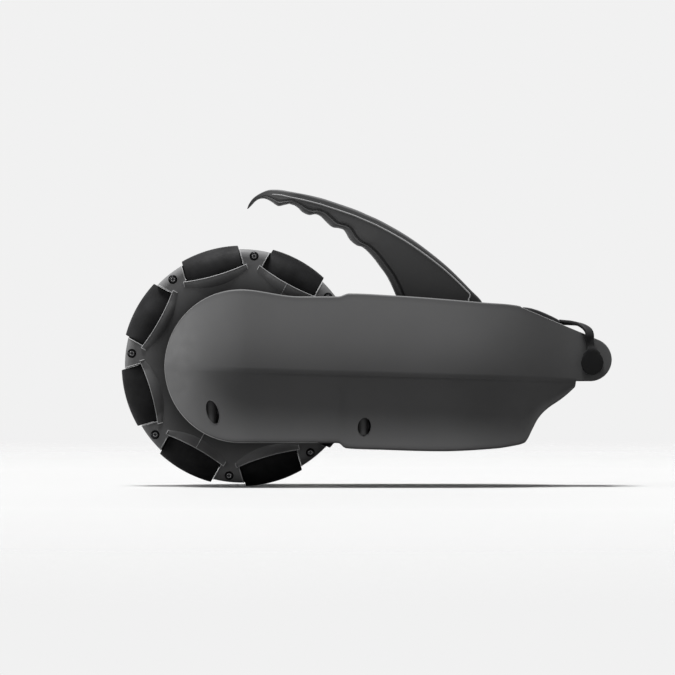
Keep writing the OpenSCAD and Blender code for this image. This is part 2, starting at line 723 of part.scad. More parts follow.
// Leads: a tube swept through a list of points
function unit(v) = v / norm(v);
function way(points, k) = unit(points[min(k + 1, len(points) - 1)] - points[max(k - 1, 0)]);
lead_sides = 10;
lead_across = [0.3, -0.9, 0.3];
module lead(points, r) {
  n = len(points);
  m = lead_sides;
  rings = [for (k = [0:n - 1])
    let (side = unit(cross(way(points, k), lead_across)), up = cross(side, way(points, k)))
    for (j = [0:m - 1]) points[k] + r * (side * cos(j * 360 / m) + up * sin(j * 360 / m))];
  polyhedron(points = rings, faces = concat(
    joined([for (k = [0:n - 2]) for (j = [0:m - 1]) let (i = (j + 1) % m)
      quad(m * k + j, m * k + i, m * k + m + i, m * k + m + j)]),
    [[for (j = [m - 1:-1:0]) j]],
    [[for (j = [0:m - 1]) m * (n - 1) + j]]));
}
motor_lead_r = 3;
battery_lead_r = 2.5;
lead_in = 6;
lead_lift = 1;
motor_bow_share = 0.64;
motor_bow = arm_out + motor_bow_share * side_room;
motor_plug = [board_at[0] + standoff_in + plug_size[0] / 2, board_at[1] + (board_size[1] + plug_size[1]) / 2,
  board_top + plug_size[2] + seam];
motor_lead_points = [
  [0, 0, axle_end - lead_in],
  [0, 0, axle_end + lead_in / 3],
  [lead_in, lead_in / 2, motor_bow],
  [motor_plug[0] / 2, motor_plug[1] / 2, motor_bow + lead_lift],
  [motor_plug[0] - lead_in, motor_plug[1] - lead_lift, motor_bow],
  motor_plug + [0, 0, lead_in / 2],
  motor_plug];
battery_bow_share = 0.61;
battery_bow = -arm_out - battery_bow_share * side_room;
battery_out = cell_len / 2 + holder_floor + seam;
battery_plug = [board_at[0] + board_size[0] - standoff_in - plug_size[0] / 2,
  board_at[1] + standoff_in + plug_size[1] / 2, -board_top - plug_size[2] - seam];
battery_lead_points = [
  [cells_at[0], battery_lead_r, -battery_out],
  [cells_at[0], battery_lead_r, -battery_out - lead_in],
  [cells_at[0] - lead_in, -lead_in / 2, battery_bow + lead_lift],
  [battery_plug[0] + lead_in, battery_plug[1] / 2, battery_bow],
  battery_plug - [0, 0, lead_in / 2],
  battery_plug];
module motor_cable() { color("black") flat() lead(motor_lead_points, motor_lead_r); }
module battery_lead() { color("firebrick") flat() lead(battery_lead_points, battery_lead_r); }

// Charge socket, its contacts, and the rubber cap on its strap
flange_low_y = nose_hw - wall - socket_flange_t - gap;
contact_r = 0.9;
contact_ring = 3;
contact_h = 3;
contact_count = 3;
module charge_socket() {
  color("black") flat() translate([socket_at[0], socket_at[1], 0]) difference() {
    union() {
      translate([0, 0, socket_low]) cylinder(r = socket_r_out, h = nose_hw - socket_low);
      translate([0, 0, flange_low_y - fit]) cylinder(r = socket_r_out + socket_flange, h = socket_flange_t);
    }
    translate([0, 0, socket_low + socket_floor]) cylinder(r = socket_d / 2, h = far);
  }
}
module charge_contacts() {
  color("gold") flat() translate([socket_at[0], socket_at[1], socket_low + socket_floor])
    for (k = [1:contact_count]) rotate([0, 0, 90 + k * 360 / contact_count])
      translate([contact_ring, 0, 0]) cylinder(r = contact_r, h = contact_h);
}
cap_t = 5;
stem_r = 4.8;
stem_wall = 1.2;
stem_len = 4;
strap_w = 6;
strap_t = 3;
strap_lift = 0.4;
neck_w = 11;
neck_up = 5.6;
hinge_up = 17;
hinge_back = 2;
hinge_at = [socket_at[0] - hinge_back, socket_at[1] + hinge_up, nose_hw + strap_lift + strap_t / 2];
module charge_cap() {
  low = nose_hw + gap;
  color("black") flat() {
    translate([socket_at[0], socket_at[1], low]) cylinder(d = cap_d, h = cap_t);
    translate([socket_at[0], socket_at[1], low - stem_len]) difference() {
      cylinder(r = stem_r, h = stem_len + seam);
      translate([0, 0, -gap]) cylinder(r = stem_r - stem_wall, h = stem_len);
    }
    translate([0, 0, hinge_at[2] - strap_t / 2]) linear_extrude(strap_t) polygon([
      [hinge_at[0] - strap_w / 2, hinge_at[1]], [hinge_at[0] + strap_w / 2, hinge_at[1]],
      socket_at + [neck_w / 2, neck_up], socket_at, socket_at + [-neck_w / 2, neck_up]]);
    translate([hinge_at[0] - strap_w / 2, hinge_at[1], hinge_at[2]]) rotate([0, 90, 0])
      cylinder(r = strap_t / 2, h = strap_w);
  }
}
strap_backs = [19.5, 16, 12.2, 7.3, 3.5, 1.4, 0.6];
strap_lifts = [2.1, 3.4, 4.6, 4.5, 3.5, 1.9, -0.5];
strap_side_shares = [0.25, 0.42, 0.58, 0.78, 0.95, 1.035, 1.085];
strap_points = [for (k = [0:len(strap_backs) - 1]) let (x = wheel_to_dock - strap_backs[k])
  [x, slope_z(x) + strap_lifts[k], strap_side_shares[k] * nose_hw]];
strap_side = [0.93, 0, -0.36];
function strap_across(k) =
  unit(strap_side - [0, strap_side[0] * tan(slope_a) * (1 - k / (len(strap_points) - 1)), 0]);
module cap_strap() {
  n = len(strap_points);
  rings = [for (k = [0:n - 1]) let (side = strap_across(k), up = unit(cross(side, way(strap_points, k))))
    for (c = [[-1, -1], [1, -1], [1, 1], [-1, 1]])
      strap_points[k] + side * c[0] * strap_w / 2 + up * c[1] * strap_t / 2];
  color("black") flat() polyhedron(points = rings, faces = joined(concat(
    [for (k = [0:n - 2]) for (j = [0:3]) let (i = (j + 1) % 4)
      quad(4 * k + j, 4 * k + i, 4 * k + 4 + i, 4 * k + 4 + j)],
    [quad(3, 2, 1, 0)], [quad(4 * n - 4, 4 * n - 3, 4 * n - 2, 4 * n - 1)])));
}

// Control panel on the slope of the nose, with the power button and its light
panel_t = 4;
panel_rise = 3.2;
panel_steps = 12;
panel_room = 0.6;
panel_mid = (panel_from + panel_to) / 2;
button_flange = 1.4;
button_shoulder = 0.8;
button_proud = 0.2;
light_r = 2;
light_ahead = 12;
light_rise = 2.4;
switch_size = 18;
switch_t = 5;
module on_slope() {
  translate([panel_mid, slope_z(panel_mid), 0]) rotate([0, 0, -slope_a]) rotate([-90, 0, 0]) children();
}
module control_panel() {
  from = panel_from + panel_room;
  to = panel_to - panel_room;
  drop = panel_t / cos(slope_a);
  color("black") flat() difference() {
    translate([0, 0, -panel_w / 2]) linear_extrude(panel_w) polygon(concat(
      [[to, slope_z(to) - drop], [from, slope_z(from) - drop]],
      [for (k = [0:panel_steps]) let (s = k / panel_steps, x = from + (to - from) * s)
        [x, slope_z(x) + gap + panel_rise * 4 * s * (1 - s)]]));
    on_slope() {
      translate([0, 0, -far / 2]) cylinder(r = button_d / 2 + gap, h = far);
      translate([0, 0, -far - button_shoulder]) cylinder(r = button_d / 2 + button_flange + gap, h = far);
      translate([light_ahead, 0, -button_shoulder]) cylinder(r = light_r + fit, h = far);
    }
  }
}
module power_button() {
  low = -panel_t + button_travel + gap;
  color("gray") flat() on_slope() {
    translate([0, 0, low]) cylinder(d = button_d, h = panel_rise + button_proud - low);
    translate([0, 0, low]) cylinder(r = button_d / 2 + button_flange, h = -button_shoulder - gap - low);
  }
}
module status_light() {
  color("lightgreen") flat() on_slope() translate([light_ahead, 0, -button_shoulder])
    cylinder(r = light_r, h = button_shoulder + light_rise);
}
module button_switch() {
  color("black") flat() on_slope() translate([-switch_size / 2, -switch_size / 2, -panel_t - switch_t])
    cube([switch_size, switch_size, switch_t]);
}

// Handle: a cast spine bolted between the rails, inside a moulded grip with finger bumps
grip_top_shares = [[0.015, 0.893], [0.021, 0.921], [0.033, 0.952], [0.052, 0.978], [0.075, 0.997],
  [0.095, 1], [0.117, 0.997], [0.139, 0.989], [0.164, 0.98], [0.19, 0.97], [0.212, 0.96],
  [0.234, 0.949], [0.259, 0.933], [0.285, 0.916], [0.31, 0.899], [0.336, 0.88], [0.361, 0.858],
  [0.391, 0.832], [0.42, 0.802], [0.449, 0.77], [0.478, 0.735], [0.507, 0.696], [0.536, 0.653],
  [0.566, 0.606], [0.595, 0.557], [0.624, 0.502], [0.657, 0.435], [0.69, 0.367], [0.692, 0.32]];
grip_low_shares = [[0.018, 0.892], [0.028, 0.912], [0.041, 0.938], [0.055, 0.95], [0.071, 0.948],
  [0.086, 0.932], [0.104, 0.909], [0.121, 0.915], [0.141, 0.921], [0.161, 0.899], [0.174, 0.874],
  [0.192, 0.858], [0.21, 0.863], [0.226, 0.85], [0.242, 0.819], [0.259, 0.79], [0.277, 0.784],
  [0.294, 0.77], [0.31, 0.719], [0.328, 0.688], [0.345, 0.677], [0.363, 0.648], [0.381, 0.608],
  [0.398, 0.563], [0.415, 0.517], [0.429, 0.466], [0.44, 0.417], [0.445, 0.388], [0.447, 0.32]];
grip_wide_shares = [[0, 0.16], [4, 0.62], [8, 0.96], [18, 1], [25, grip_base_share], [28, grip_base_share]];
grip_square = 0.75;
grip_sides = 20;
function grip_point(s) = [s[0] * wheel_to_dock, s[1] * handle_h];
function squared(v) = sign(v) * pow(abs(v), grip_square);
module grip_body() {
  n = len(grip_top_shares);
  m = grip_sides;
  rings = [for (k = [0:n - 1])
    let (a = grip_point(grip_top_shares[k]), b = grip_point(grip_low_shares[k]),
      w = lookup(k, grip_wide_shares) * handle_w / 2)
    for (j = [0:m - 1]) let (t = j * 360 / m, p = (a + b) / 2 + (a - b) / 2 * squared(cos(t)))
      [p[0], p[1], w * squared(sin(t))]];
  polyhedron(points = rings, faces = concat(
    joined([for (k = [0:n - 2]) for (j = [0:m - 1]) let (i = (j + 1) % m)
      quad(m * k + j, m * k + m + j, m * k + m + i, m * k + i)]),
    [[for (j = [0:m - 1]) j]],
    [[for (j = [m - 1:-1:0]) m * (n - 1) + j]]));
}
spine_shares = [[0.12, 0.955], [0.22, 0.915], [0.33, 0.84], [0.44, 0.72], [0.55, 0.58], [0.64, 0.42],
  [0.68, 0.3], [0.68, 0.12], [0.5, 0.12], [0.46, 0.35], [0.43, 0.54], [0.37, 0.7], [0.28, 0.82],
  [0.19, 0.89], [0.12, 0.93]];
spine_w = 10;
cross_r = 7;
module spine_body() {
  translate([0, 0, -spine_w / 2]) linear_extrude(spine_w) polygon([for (s = spine_shares) grip_point(s)]);
}
module handle_spine() {
  color("silver") flat() difference() {
    union() {
      spine_body();
      for (k = [0, 1]) translate(placed(bolt_spots[k])) translate([0, 0, seam - arm_in])
        cylinder(r = cross_r, h = wheel_gap - 2 * seam);
    }
    for (k = [0, 1]) translate(placed(bolt_spots[k])) translate([0, 0, -far / 2])
      cylinder(r = bolt_r + fit, h = far);
  }
}
module handle_grip() {
  color("dimgray") flat() difference() {
    grip_body();
    spine_body();
  }
}

// Fasteners
bolt_head_r = 5;
bolt_head_t = 4;
bolt_bite = 14;
module shell_screws() {
  color("black") flat() both_sides() for (k = [0, 1]) translate(well_at(k)) difference() {
    union() {
      translate([0, 0, arm_in]) cylinder(r = screw_r, h = arm_t + well_floor);
      translate([0, 0, arm_out + well_floor]) cylinder(r = screw_head_r, h = screw_head_t);
    }
    translate([0, 0, arm_out + well_floor + screw_head_t - socket_deep])
      cylinder(r = socket_r, h = far, $fn = 6);
  }
}
module arm_bolts() {
  color("black") flat() both_sides() for (s = bolt_spots) translate(placed(s)) {
    translate([0, 0, arm_in - bolt_bite]) cylinder(r = bolt_r, h = arm_t + bolt_bite);
    translate([0, 0, arm_out]) cylinder(r = bolt_head_r, h = bolt_head_t, $fn = 6);
  }
}

right_shell();
left_shell();
left_cheek();
right_arm();
left_arm();
wheel_arch();
dock_head();
axle();
axle_spacers();
axle_nuts();
stator_core();
stator_windings();
battery_cells();
battery_holders();
controller_board();
board_components();
heat_sink();
battery_board();
board_standoffs();
charge_socket();
charge_contacts();
cap_strap();
control_panel();
button_switch();
status_light();
handle_spine();
handle_grip();
shell_screws();
arm_bolts();
motor_cable();
battery_lead();
power_button();
charge_cap();
rotor_can();
rotor_magnets();
right_hub_cover();
left_hub_cover();
hub_bearings();
right_wheel_plate();
left_wheel_plate();
plate_screws();
roller_pins();
for (k = [1:roller_count]) {
  roller(k);
  roller_core(k);
}
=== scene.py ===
import json
from bisect import bisect_right
from math import asin, atan, atan2, cos, degrees, hypot, pi, radians, sin, sqrt, tan

import bmesh
import bpy
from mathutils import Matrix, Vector


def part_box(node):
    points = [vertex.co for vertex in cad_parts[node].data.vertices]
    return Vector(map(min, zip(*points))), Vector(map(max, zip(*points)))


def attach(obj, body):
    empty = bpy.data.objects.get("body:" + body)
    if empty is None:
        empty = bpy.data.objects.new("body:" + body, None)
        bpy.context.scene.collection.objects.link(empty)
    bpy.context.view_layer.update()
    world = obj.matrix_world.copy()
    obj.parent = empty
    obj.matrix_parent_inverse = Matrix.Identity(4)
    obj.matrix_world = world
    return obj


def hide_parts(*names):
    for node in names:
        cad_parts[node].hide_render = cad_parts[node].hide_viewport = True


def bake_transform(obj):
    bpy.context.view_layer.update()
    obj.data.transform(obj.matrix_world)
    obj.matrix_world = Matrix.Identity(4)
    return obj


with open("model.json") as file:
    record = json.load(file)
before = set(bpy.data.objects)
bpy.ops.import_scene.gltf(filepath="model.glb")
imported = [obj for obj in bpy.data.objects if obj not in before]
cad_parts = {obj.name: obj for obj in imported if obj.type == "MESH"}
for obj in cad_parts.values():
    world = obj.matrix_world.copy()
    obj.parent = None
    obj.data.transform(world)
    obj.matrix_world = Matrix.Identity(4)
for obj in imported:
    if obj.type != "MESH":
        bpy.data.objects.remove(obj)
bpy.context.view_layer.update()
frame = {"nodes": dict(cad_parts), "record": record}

# Sizes in millimetres, most of them the part's own
MM = 0.001
WHEEL_R = 95
PLATE_R = 92
PLATE_HW = 18.5
MOTOR_R = 54
ROLLER_R = 19.2
ROLLER_LEN = 46
ROLLER_COUNT = 8
ROLLER_STEP = 360 / ROLLER_COUNT
ROLLER_AXIS_R = WHEEL_R - ROLLER_R
ROLLER_CORE_R = 11
WHEEL_TURN = 16
POCKET_ROOM = 0.9
CLOSE_ROOM = 0.25
HUMP_WALL = 0.9
POCKET_HALF = ROLLER_LEN / 2 + POCKET_ROOM
RIM_ROUND = 7
RIM_DROP = 5
POST_R = 87
POST_HEAD_R = 3.3
POST_HEAD_DEEP = 2.6
DOCK_X = 274
DOCK_UP = 5
ARM_R = 60
BODY_HW = 67
NOSE_HW = 29
NOSE_R = 17
WALL = 2.6
ARM_IN = 25.5
ARM_OUT = 31
SLOT_HW = 18.1
SEAM = 0.05
GAP = 0.3
HANDLE_H = 139
HANDLE_HW = 13
PANEL_HW = 12
SOCKET_AT = (275.5, 3.5)
SOCKET_R_OUT = 7.4
WINDOW_R = 11
WELLS = [((-21.92, -36), (4.9, 9.7), 16), ((96.45, -47.4), (5.4, 7.3), -8)]
WELL_WALL = 2
WELL_FLOOR = 34
WELL_SEGMENTS = 36
ROLLERS = range(1, ROLLER_COUNT + 1)

# Steps and reaches that the meshes share
OVERRUN = 20
FAR = 100
ROUND_SEGMENTS = 48
FINE_SEGMENTS = 72
MERGE = 0.0005

# The side frame: x forward and y up from the axle, z towards the right-hand side
axle_low, axle_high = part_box("axle")
AXLE = (axle_low + axle_high) / 2


def at(x, y, z):
    """A point of the side frame, in millimetres, as a place in the row frame."""
    return Vector((AXLE.x + x * MM, -z * MM, AXLE.z + y * MM))


def portion(value, whole):
    """A share of a whole, kept between 0 and 1."""
    return min(1, max(0, value / whole))


def ease(share):
    """A share of the way, slow at both ends."""
    return (1 - cos(pi * share)) / 2


def evenly(first, last, steps):
    """Evenly spaced values from first to last."""
    return [first + (last - first) * k / steps for k in range(steps + 1)]


def arc(steps, first=0, last=90):
    """Angles in radians from first to last, in degrees."""
    return [radians(angle) for angle in evenly(first, last, steps)]


def circle(segments):
    """Angles in radians once round."""
    return [2 * pi * k / segments for k in range(segments)]


def corner(u, v, ru, rv, turns):
    """A rounded corner at (u, v); each radius has its sign."""
    return [(u - ru * (1 - cos(a)), v - rv * (1 - sin(a))) for a in turns]


def smooth_line(points, first=None):
    """A smooth line through points in order of x that never overshoots them."""
    xs, ys = zip(*points)
    gaps = [b - a for a, b in zip(xs, xs[1:])]
    rises = [(b - a) / g for a, b, g in zip(ys, ys[1:], gaps)]
    slopes = [rises[0] if first is None else first]
    for g0, g1, r0, r1 in zip(gaps, gaps[1:], rises, rises[1:]):
        w0, w1 = 2 * g1 + g0, g1 + 2 * g0
        slopes.append((w0 + w1) / (w0 / r0 + w1 / r1) if r0 * r1 > 0 else 0)
    slopes.append(rises[-1])

    def line(x):
        k = min(max(bisect_right(xs, x) - 1, 0), len(gaps) - 1)
        t = (x - xs[k]) / gaps[k]
        bend = gaps[k] * ((t - 2 * t * t + t ** 3) * slopes[k] + (t ** 3 - t * t) * slopes[k + 1])
        return ys[k] + (ys[k + 1] - ys[k]) * (3 * t * t - 2 * t ** 3) + bend

    return line


def curve_through(points, steps):
    """A finer list of points on a smooth curve through the given ones."""
    points = [Vector(p) for p in points]
    ends = [2 * points[0] - points[1]] + points + [2 * points[-1] - points[-2]]
    fine = []
    for a, b, c, d in zip(ends, ends[1:], ends[2:], ends[3:]):
        for k in range(steps):
            t = k / steps
            fine.append(b + 0.5 * t * (c - a + t * (2 * a - 5 * b + 4 * c - d + t * (3 * (b - c) + d - a))))
    return fine + [points[-1]]


# Meshes

def grid(rows, ends=True):
    """Points and faces of a skin over closed rows of points; ends fills the outermost rows."""
    n = len(rows[0])
    points = [p for row in rows for p in row]
    faces = []
    for i in range(len(rows) - 1):
        for j in range(n):
            k = (j + 1) % n
            faces.append((i * n + j, i * n + k, (i + 1) * n + k, (i + 1) * n + j))
    if ends:
        faces.append(tuple(range(n)))
        faces.append(tuple(range(len(points) - n, len(points))))
    return points, faces


def joined(*skins):
    """Several (points, faces) as one."""
    points, faces = [], []
    for some, more in skins:
        base = len(points)
        points += some
        faces += [tuple(base + k for k in face) for face in more]
    return points, faces


def turned(profile, place, segments):
    """Rows of a profile of (radius, height) turned about an axis; place maps (u, v, height)."""
    return [[place(r * cos(a), r * sin(a), h) for a in circle(segments)] for r, h in profile]


def lathe(profile, place, segments=64):
    """A turned solid, closed at both ends."""
    return grid(turned(profile, place, segments))


def ring(profile, place, segments):
    """A turned solid whose profile closes on itself."""
    rows = turned(profile, place, segments)
    return grid(rows + rows[:1], ends=False)


def pipe(place, radius, low, high):
    """A round bar."""
    return lathe([(radius, low), (radius, high)], place, ROUND_SEGMENTS)


def axis_at(x, y, side):
    """Places (u, v, height) about an axis across the part, towards one side."""
    return lambda u, v, h: (x + u, y + v, side * h)


def bead(path, radius, sides=8):
    """A thin round bead along a list of points."""
    path = [Vector(p) for p in path]
    rows = []
    for k, spot in enumerate(path):
        way = (path[min(k + 1, len(path) - 1)] - path[max(k - 1, 0)]).normalized()
        side = way.orthogonal().normalized() if k == 0 else (side - side.dot(way) * way).normalized()
        up = side.cross(way)
        rows.append([spot + radius * (cos(a) * side + sin(a) * up) for a in circle(sides)])
    return grid(rows)


def add_object(name, data):
    """A new object in the scene."""
    obj = bpy.data.objects.new(name, data)
    bpy.context.scene.collection.objects.link(obj)
    return obj


def mesh_object(name, skin):
    """A new object from points in the side frame."""
    points, faces = skin
    mesh = bpy.data.meshes.new(name)
    mesh.from_pydata([at(*p) for p in points], [], faces)
    work = bmesh.new()
    work.from_mesh(mesh)
    bmesh.ops.remove_doubles(work, verts=work.verts, dist=MERGE * MM)
    bmesh.ops.recalc_face_normals(work, faces=work.faces)
    work.to_mesh(mesh)
    work.free()
    return add_object(name, mesh)


def cut(obj, *skins):
    """Takes the given solids out of a piece."""
    for skin in skins:
        tool = mesh_object("tool", skin)
        change = obj.modifiers.new("cut", "BOOLEAN")
        change.object = tool
        change.operation = "DIFFERENCE"
        change.solver = "EXACT"
        graph = bpy.context.evaluated_depsgraph_get()
        mesh = bpy.data.meshes.new_from_object(obj.evaluated_get(graph))
        obj.modifiers.clear()
        old = obj.data
        obj.data = mesh
        bpy.data.meshes.remove(old)
        bpy.data.objects.remove(tool)


def add_skin(obj, skin):
    """Joins one more skin to a piece's mesh."""
    extra = mesh_object("extra", skin)
    work = bmesh.new()
    work.from_mesh(obj.data)
    work.from_mesh(extra.data)
    work.to_mesh(obj.data)
    work.free()
    bpy.data.objects.remove(extra)


def dress(obj, slot, body="chassis", stands_for=(), finish=None, sharp=32, even=False):
    """Gives a piece its shading, its body and a finish, by default that of its slot."""
    for face in obj.data.polygons:
        face.use_smooth = True
    obj.data.set_sharp_from_angle(angle=radians(sharp))
    obj.data.materials.clear()
    obj.data.materials.append(finish or FINISHES[slot])
    if even:
        obj.modifiers.new("even", "WEIGHTED_NORMAL").keep_sharp = True
    if body:
        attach(obj, body)
    if stands_for:
        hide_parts(*stands_for)
    return obj


# Materials

CLOUD_DETAIL = 4
GLOSS_SPREAD = 0.05
GLOSS_CLOUDS = 5
GRAIN_STRENGTH = 0.6
STAIN_SCALE = 40
STAIN_SHARES = (0.86, 1.08)
METAL_GLOSS = (-0.08, 0.1)
METAL_STRENGTH = 0.5


def new_material(name, colour, rough):
    """A material, its node tree and its shader."""
    finish = bpy.data.materials.new(name)
    finish.use_nodes = True
    tree = finish.node_tree
    shader = tree.nodes["Principled BSDF"]
    shader.inputs["Base Color"].default_value = (*colour, 1)
    shader.inputs["Roughness"].default_value = rough
    return finish, tree, shader


def add_node(tree, kind, values):
    """A new node with values for some of its inputs."""
    node = tree.nodes.new("ShaderNode" + kind)
    for name, value in values.items():
        node.inputs[name].default_value = value
    return node


def piece_place(tree):
    """The place on the piece, in metres."""
    return tree.nodes.new("ShaderNodeTexCoord").outputs["Object"]


def link_noise(tree, scale, detail=3, stretch=(1, 1, 1)):
    """A noise texture fixed to the piece; scale is per metre."""
    place = piece_place(tree)
    turn = add_node(tree, "Mapping", {"Scale": stretch})
    noise = add_node(tree, "TexNoise", {"Scale": scale, "Detail": detail})
    tree.links.new(place, turn.inputs["Vector"])
    tree.links.new(turn.outputs["Vector"], noise.inputs["Vector"])
    return noise.outputs["Fac"]


def link_range(tree, source, low, high, start=0.3, end=0.7):
    """Maps start to end, by default the middle of a noise, onto low to high."""
    step = add_node(tree, "MapRange", {"From Min": start, "From Max": end, "To Min": low, "To Max": high})
    tree.links.new(source, step.inputs["Value"])
    return step.outputs["Result"]


def link_colours(tree, source, low, high, socket):
    """Mixes two colours by a 0 to 1 source."""
    mix = tree.nodes.new("ShaderNodeMix")
    mix.data_type = "RGBA"
    mix.inputs["A"].default_value = (*low, 1)
    mix.inputs["B"].default_value = (*high, 1)
    tree.links.new(source, mix.inputs["Factor"])
    tree.links.new(mix.outputs["Result"], socket)


def link_bump(tree, source, shader, strength, height):
    """A fine relief in the shading; height is in millimetres."""
    bump = add_node(tree, "Bump", {"Strength": strength, "Distance": height * MM})
    tree.links.new(source, bump.inputs["Height"])
    tree.links.new(bump.outputs["Normal"], shader.inputs["Normal"])


def shade(colour, amount):
    """A colour made darker or lighter."""
    return tuple(c * amount for c in colour)


def moulded(name, colour, rough=0.5, spread=0.06, cloud=28, grain=1800, depth=0.06, shine=0.2):
    """Moulded plastic or rubber: a fine grain, a faint cloudiness and uneven gloss."""
    finish, tree, shader = new_material(name, colour, rough)
    shader.inputs["Specular IOR Level"].default_value = shine
    clouds = link_range(tree, link_noise(tree, cloud, CLOUD_DETAIL), 0, 1)
    dark, light = shade(colour, 1 - spread), shade(colour, 1 + spread)
    link_colours(tree, clouds, dark, light, shader.inputs["Base Color"])
    patches = link_noise(tree, cloud * GLOSS_CLOUDS)
    gloss = link_range(tree, patches, rough - GLOSS_SPREAD, rough + GLOSS_SPREAD)
    tree.links.new(gloss, shader.inputs["Roughness"])
    link_bump(tree, link_noise(tree, grain), shader, GRAIN_STRENGTH, depth)
    return finish


def tint(finish, source, start, end, low, high):
    """Multiplies a finish's colour by low to high as a source goes from start to end."""
    tree = finish.node_tree
    socket = tree.nodes["Principled BSDF"].inputs["Base Color"]
    mix = tree.nodes.new("ShaderNodeMix")
    mix.data_type = "RGBA"
    mix.blend_type = "MULTIPLY"
    mix.inputs["Factor"].default_value = 1
    tree.links.new(socket.links[0].from_socket, mix.inputs["A"])
    tree.links.new(link_range(tree, source, low, high, start, end), mix.inputs["B"])
    tree.links.new(mix.outputs["Result"], socket)


def paint_shade_below(finish, low, high, least):
    """Paints shade on a finish: darker downwards between two heights, to a share of its colour."""
    tree = finish.node_tree
    split = tree.nodes.new("ShaderNodeSeparateXYZ")
    tree.links.new(piece_place(tree), split.inputs["Vector"])
    tint(finish, split.outputs["Z"], low, high, least, 1)


def paint_hub_shade(finish, near, far, least, most):
    """Paints shade on a finish: darker near the axle, where the casing shades the wheel, and lighter towards
    the rim.
    """
    tree = finish.node_tree
    from_axle, across, away = (tree.nodes.new("ShaderNodeVectorMath") for _ in range(3))
    from_axle.operation, across.operation, away.operation = "SUBTRACT", "MULTIPLY", "LENGTH"
    from_axle.inputs[1].default_value = AXLE
    across.inputs[1].default_value = (1, 0, 1)
    tree.links.new(piece_place(tree), from_axle.inputs[0])
    tree.links.new(from_axle.outputs["Vector"], across.inputs[0])
    tree.links.new(across.outputs["Vector"], away.inputs[0])
    tint(finish, away.outputs["Value"], near, far, least, most)


def metal(name, colour, rough=0.35, stretch=(1, 1, 1), grain=900, depth=0.02):
    """Bare or plated metal; stretch draws the grain out along one direction."""
    finish, tree, shader = new_material(name, colour, rough)
    shader.inputs["Metallic"].default_value = 1
    lines = link_noise(tree, grain, stretch=stretch)
    stains = link_range(tree, link_noise(tree, STAIN_SCALE), 0, 1)
    dark, light = (shade(colour, share) for share in STAIN_SHARES)
    link_colours(tree, stains, dark, light, shader.inputs["Base Color"])
    low, high = (rough + change for change in METAL_GLOSS)
    tree.links.new(link_range(tree, lines, low, high), shader.inputs["Roughness"])
    link_bump(tree, lines, shader, METAL_STRENGTH, depth)
    return finish


FINISHES = {
    "casing": moulded("casing_plastic", (0.096, 0.096, 0.097), 0.5, 0.03, grain=2200, depth=0.05, shine=0.14),
    "wheel_moulding": moulded("wheel_plastic", (0.1, 0.1, 0.101), grain=1500, shine=0.12),
    "roller_rubber": moulded("roller_rubber", (0.0125, 0.0125, 0.013), 0.62, 0.5, 60, 900, 0.12, 0.06),
    "roller_nylon": moulded("roller_nylon", (0.08, 0.08, 0.08), 0.45),
    "arm_steel": metal("plated_steel", (0.42, 0.42, 0.43), 0.42, stretch=(0.2, 1, 1)),
    "shaft_steel": metal("turned_steel", (0.2, 0.2, 0.205), stretch=(1, 0.1, 1), grain=1500),
    "cast_alloy": metal("cast_alloy", (0.25, 0.25, 0.255), 0.5, grain=700, depth=0.08),
    "motor_iron": metal("coated_iron", (0.2, 0.2, 0.21), 0.55, stretch=(1, 4, 1)),
    "copper": metal("enamelled_copper", (0.5, 0.2, 0.09), stretch=(1, 8, 1), grain=600, depth=0.15),
    "cell_sleeve": moulded("cell_sleeve", (0.05, 0.16, 0.34), 0.3, grain=300, depth=0.03),
    "holder_plastic": moulded("holder_plastic", (0.05, 0.05, 0.05), 0.55),
    "board": moulded("board_lacquer", (0.02, 0.12, 0.045), 0.3, 0.25, cloud=400, grain=500),
    "component_black": moulded("component_black", (0.02, 0.02, 0.021), 0.45),
    "contact_gold": metal("contact_plating", (0.75, 0.55, 0.2), 0.25),
    "soft_black": moulded("soft_rubber", (0.014, 0.014, 0.0145), 0.58, 0.2, grain=1300, depth=0.05,
                          shine=0.08),
    "lead_red": moulded("lead_cover", (0.3, 0.02, 0.02), 0.45),
    "panel_black": moulded("panel_plastic", (0.016, 0.016, 0.017), 0.32, 0.1, depth=0.02),
    "button_grey": moulded("button_plastic", (0.1, 0.1, 0.104), 0.42),
    "light_lens": moulded("lens_plastic", (0.16, 0.32, 0.2), 0.12, 0.1, depth=0.01),
    "grip_plastic": moulded("grip_plastic", (0.1, 0.1, 0.101), 0.52, 0.05, grain=1400, depth=0.08,
                            shine=0.12),
    "screw_black": metal("black_oxide", (0.016, 0.016, 0.017), 0.22, grain=1500),
}
# Painted shade on the wheel's plastic, dark near the hub, and painted light towards its rim
HUB_SHADE_FROM, HUB_SHADE_TO = 60, 80
HUB_SHADE_LEAST, HUB_SHADE_MOST = 0.56, 1.5
paint_hub_shade(FINISHES["wheel_moulding"], HUB_SHADE_FROM * MM, HUB_SHADE_TO * MM, HUB_SHADE_LEAST, HUB_SHADE_MOST)
# A lighter copy of the casing plastic for edge beads: painted highlight
CASING_HIGHLIGHT = moulded("painted_highlight_casing_edge", (0.26, 0.26, 0.262), 0.45, grain=900)
# A lighter copy of the wheel plastic for edge beads: painted highlight
PLATE_HIGHLIGHT = moulded("painted_highlight_plate_edge", (0.34, 0.34, 0.343), 0.45, grain=900)
# A lighter copy of the grip plastic for its raised lines: painted highlight
GRIP_HIGHLIGHT = moulded("painted_highlight_grip_edge", (0.32, 0.32, 0.322), 0.4, grain=900)
# A bright metal for the screw recess tips: painted glints
SCREW_GLINT = metal("painted_glint_screw_edge", (0.5, 0.5, 0.5), 0.3)

# Casing

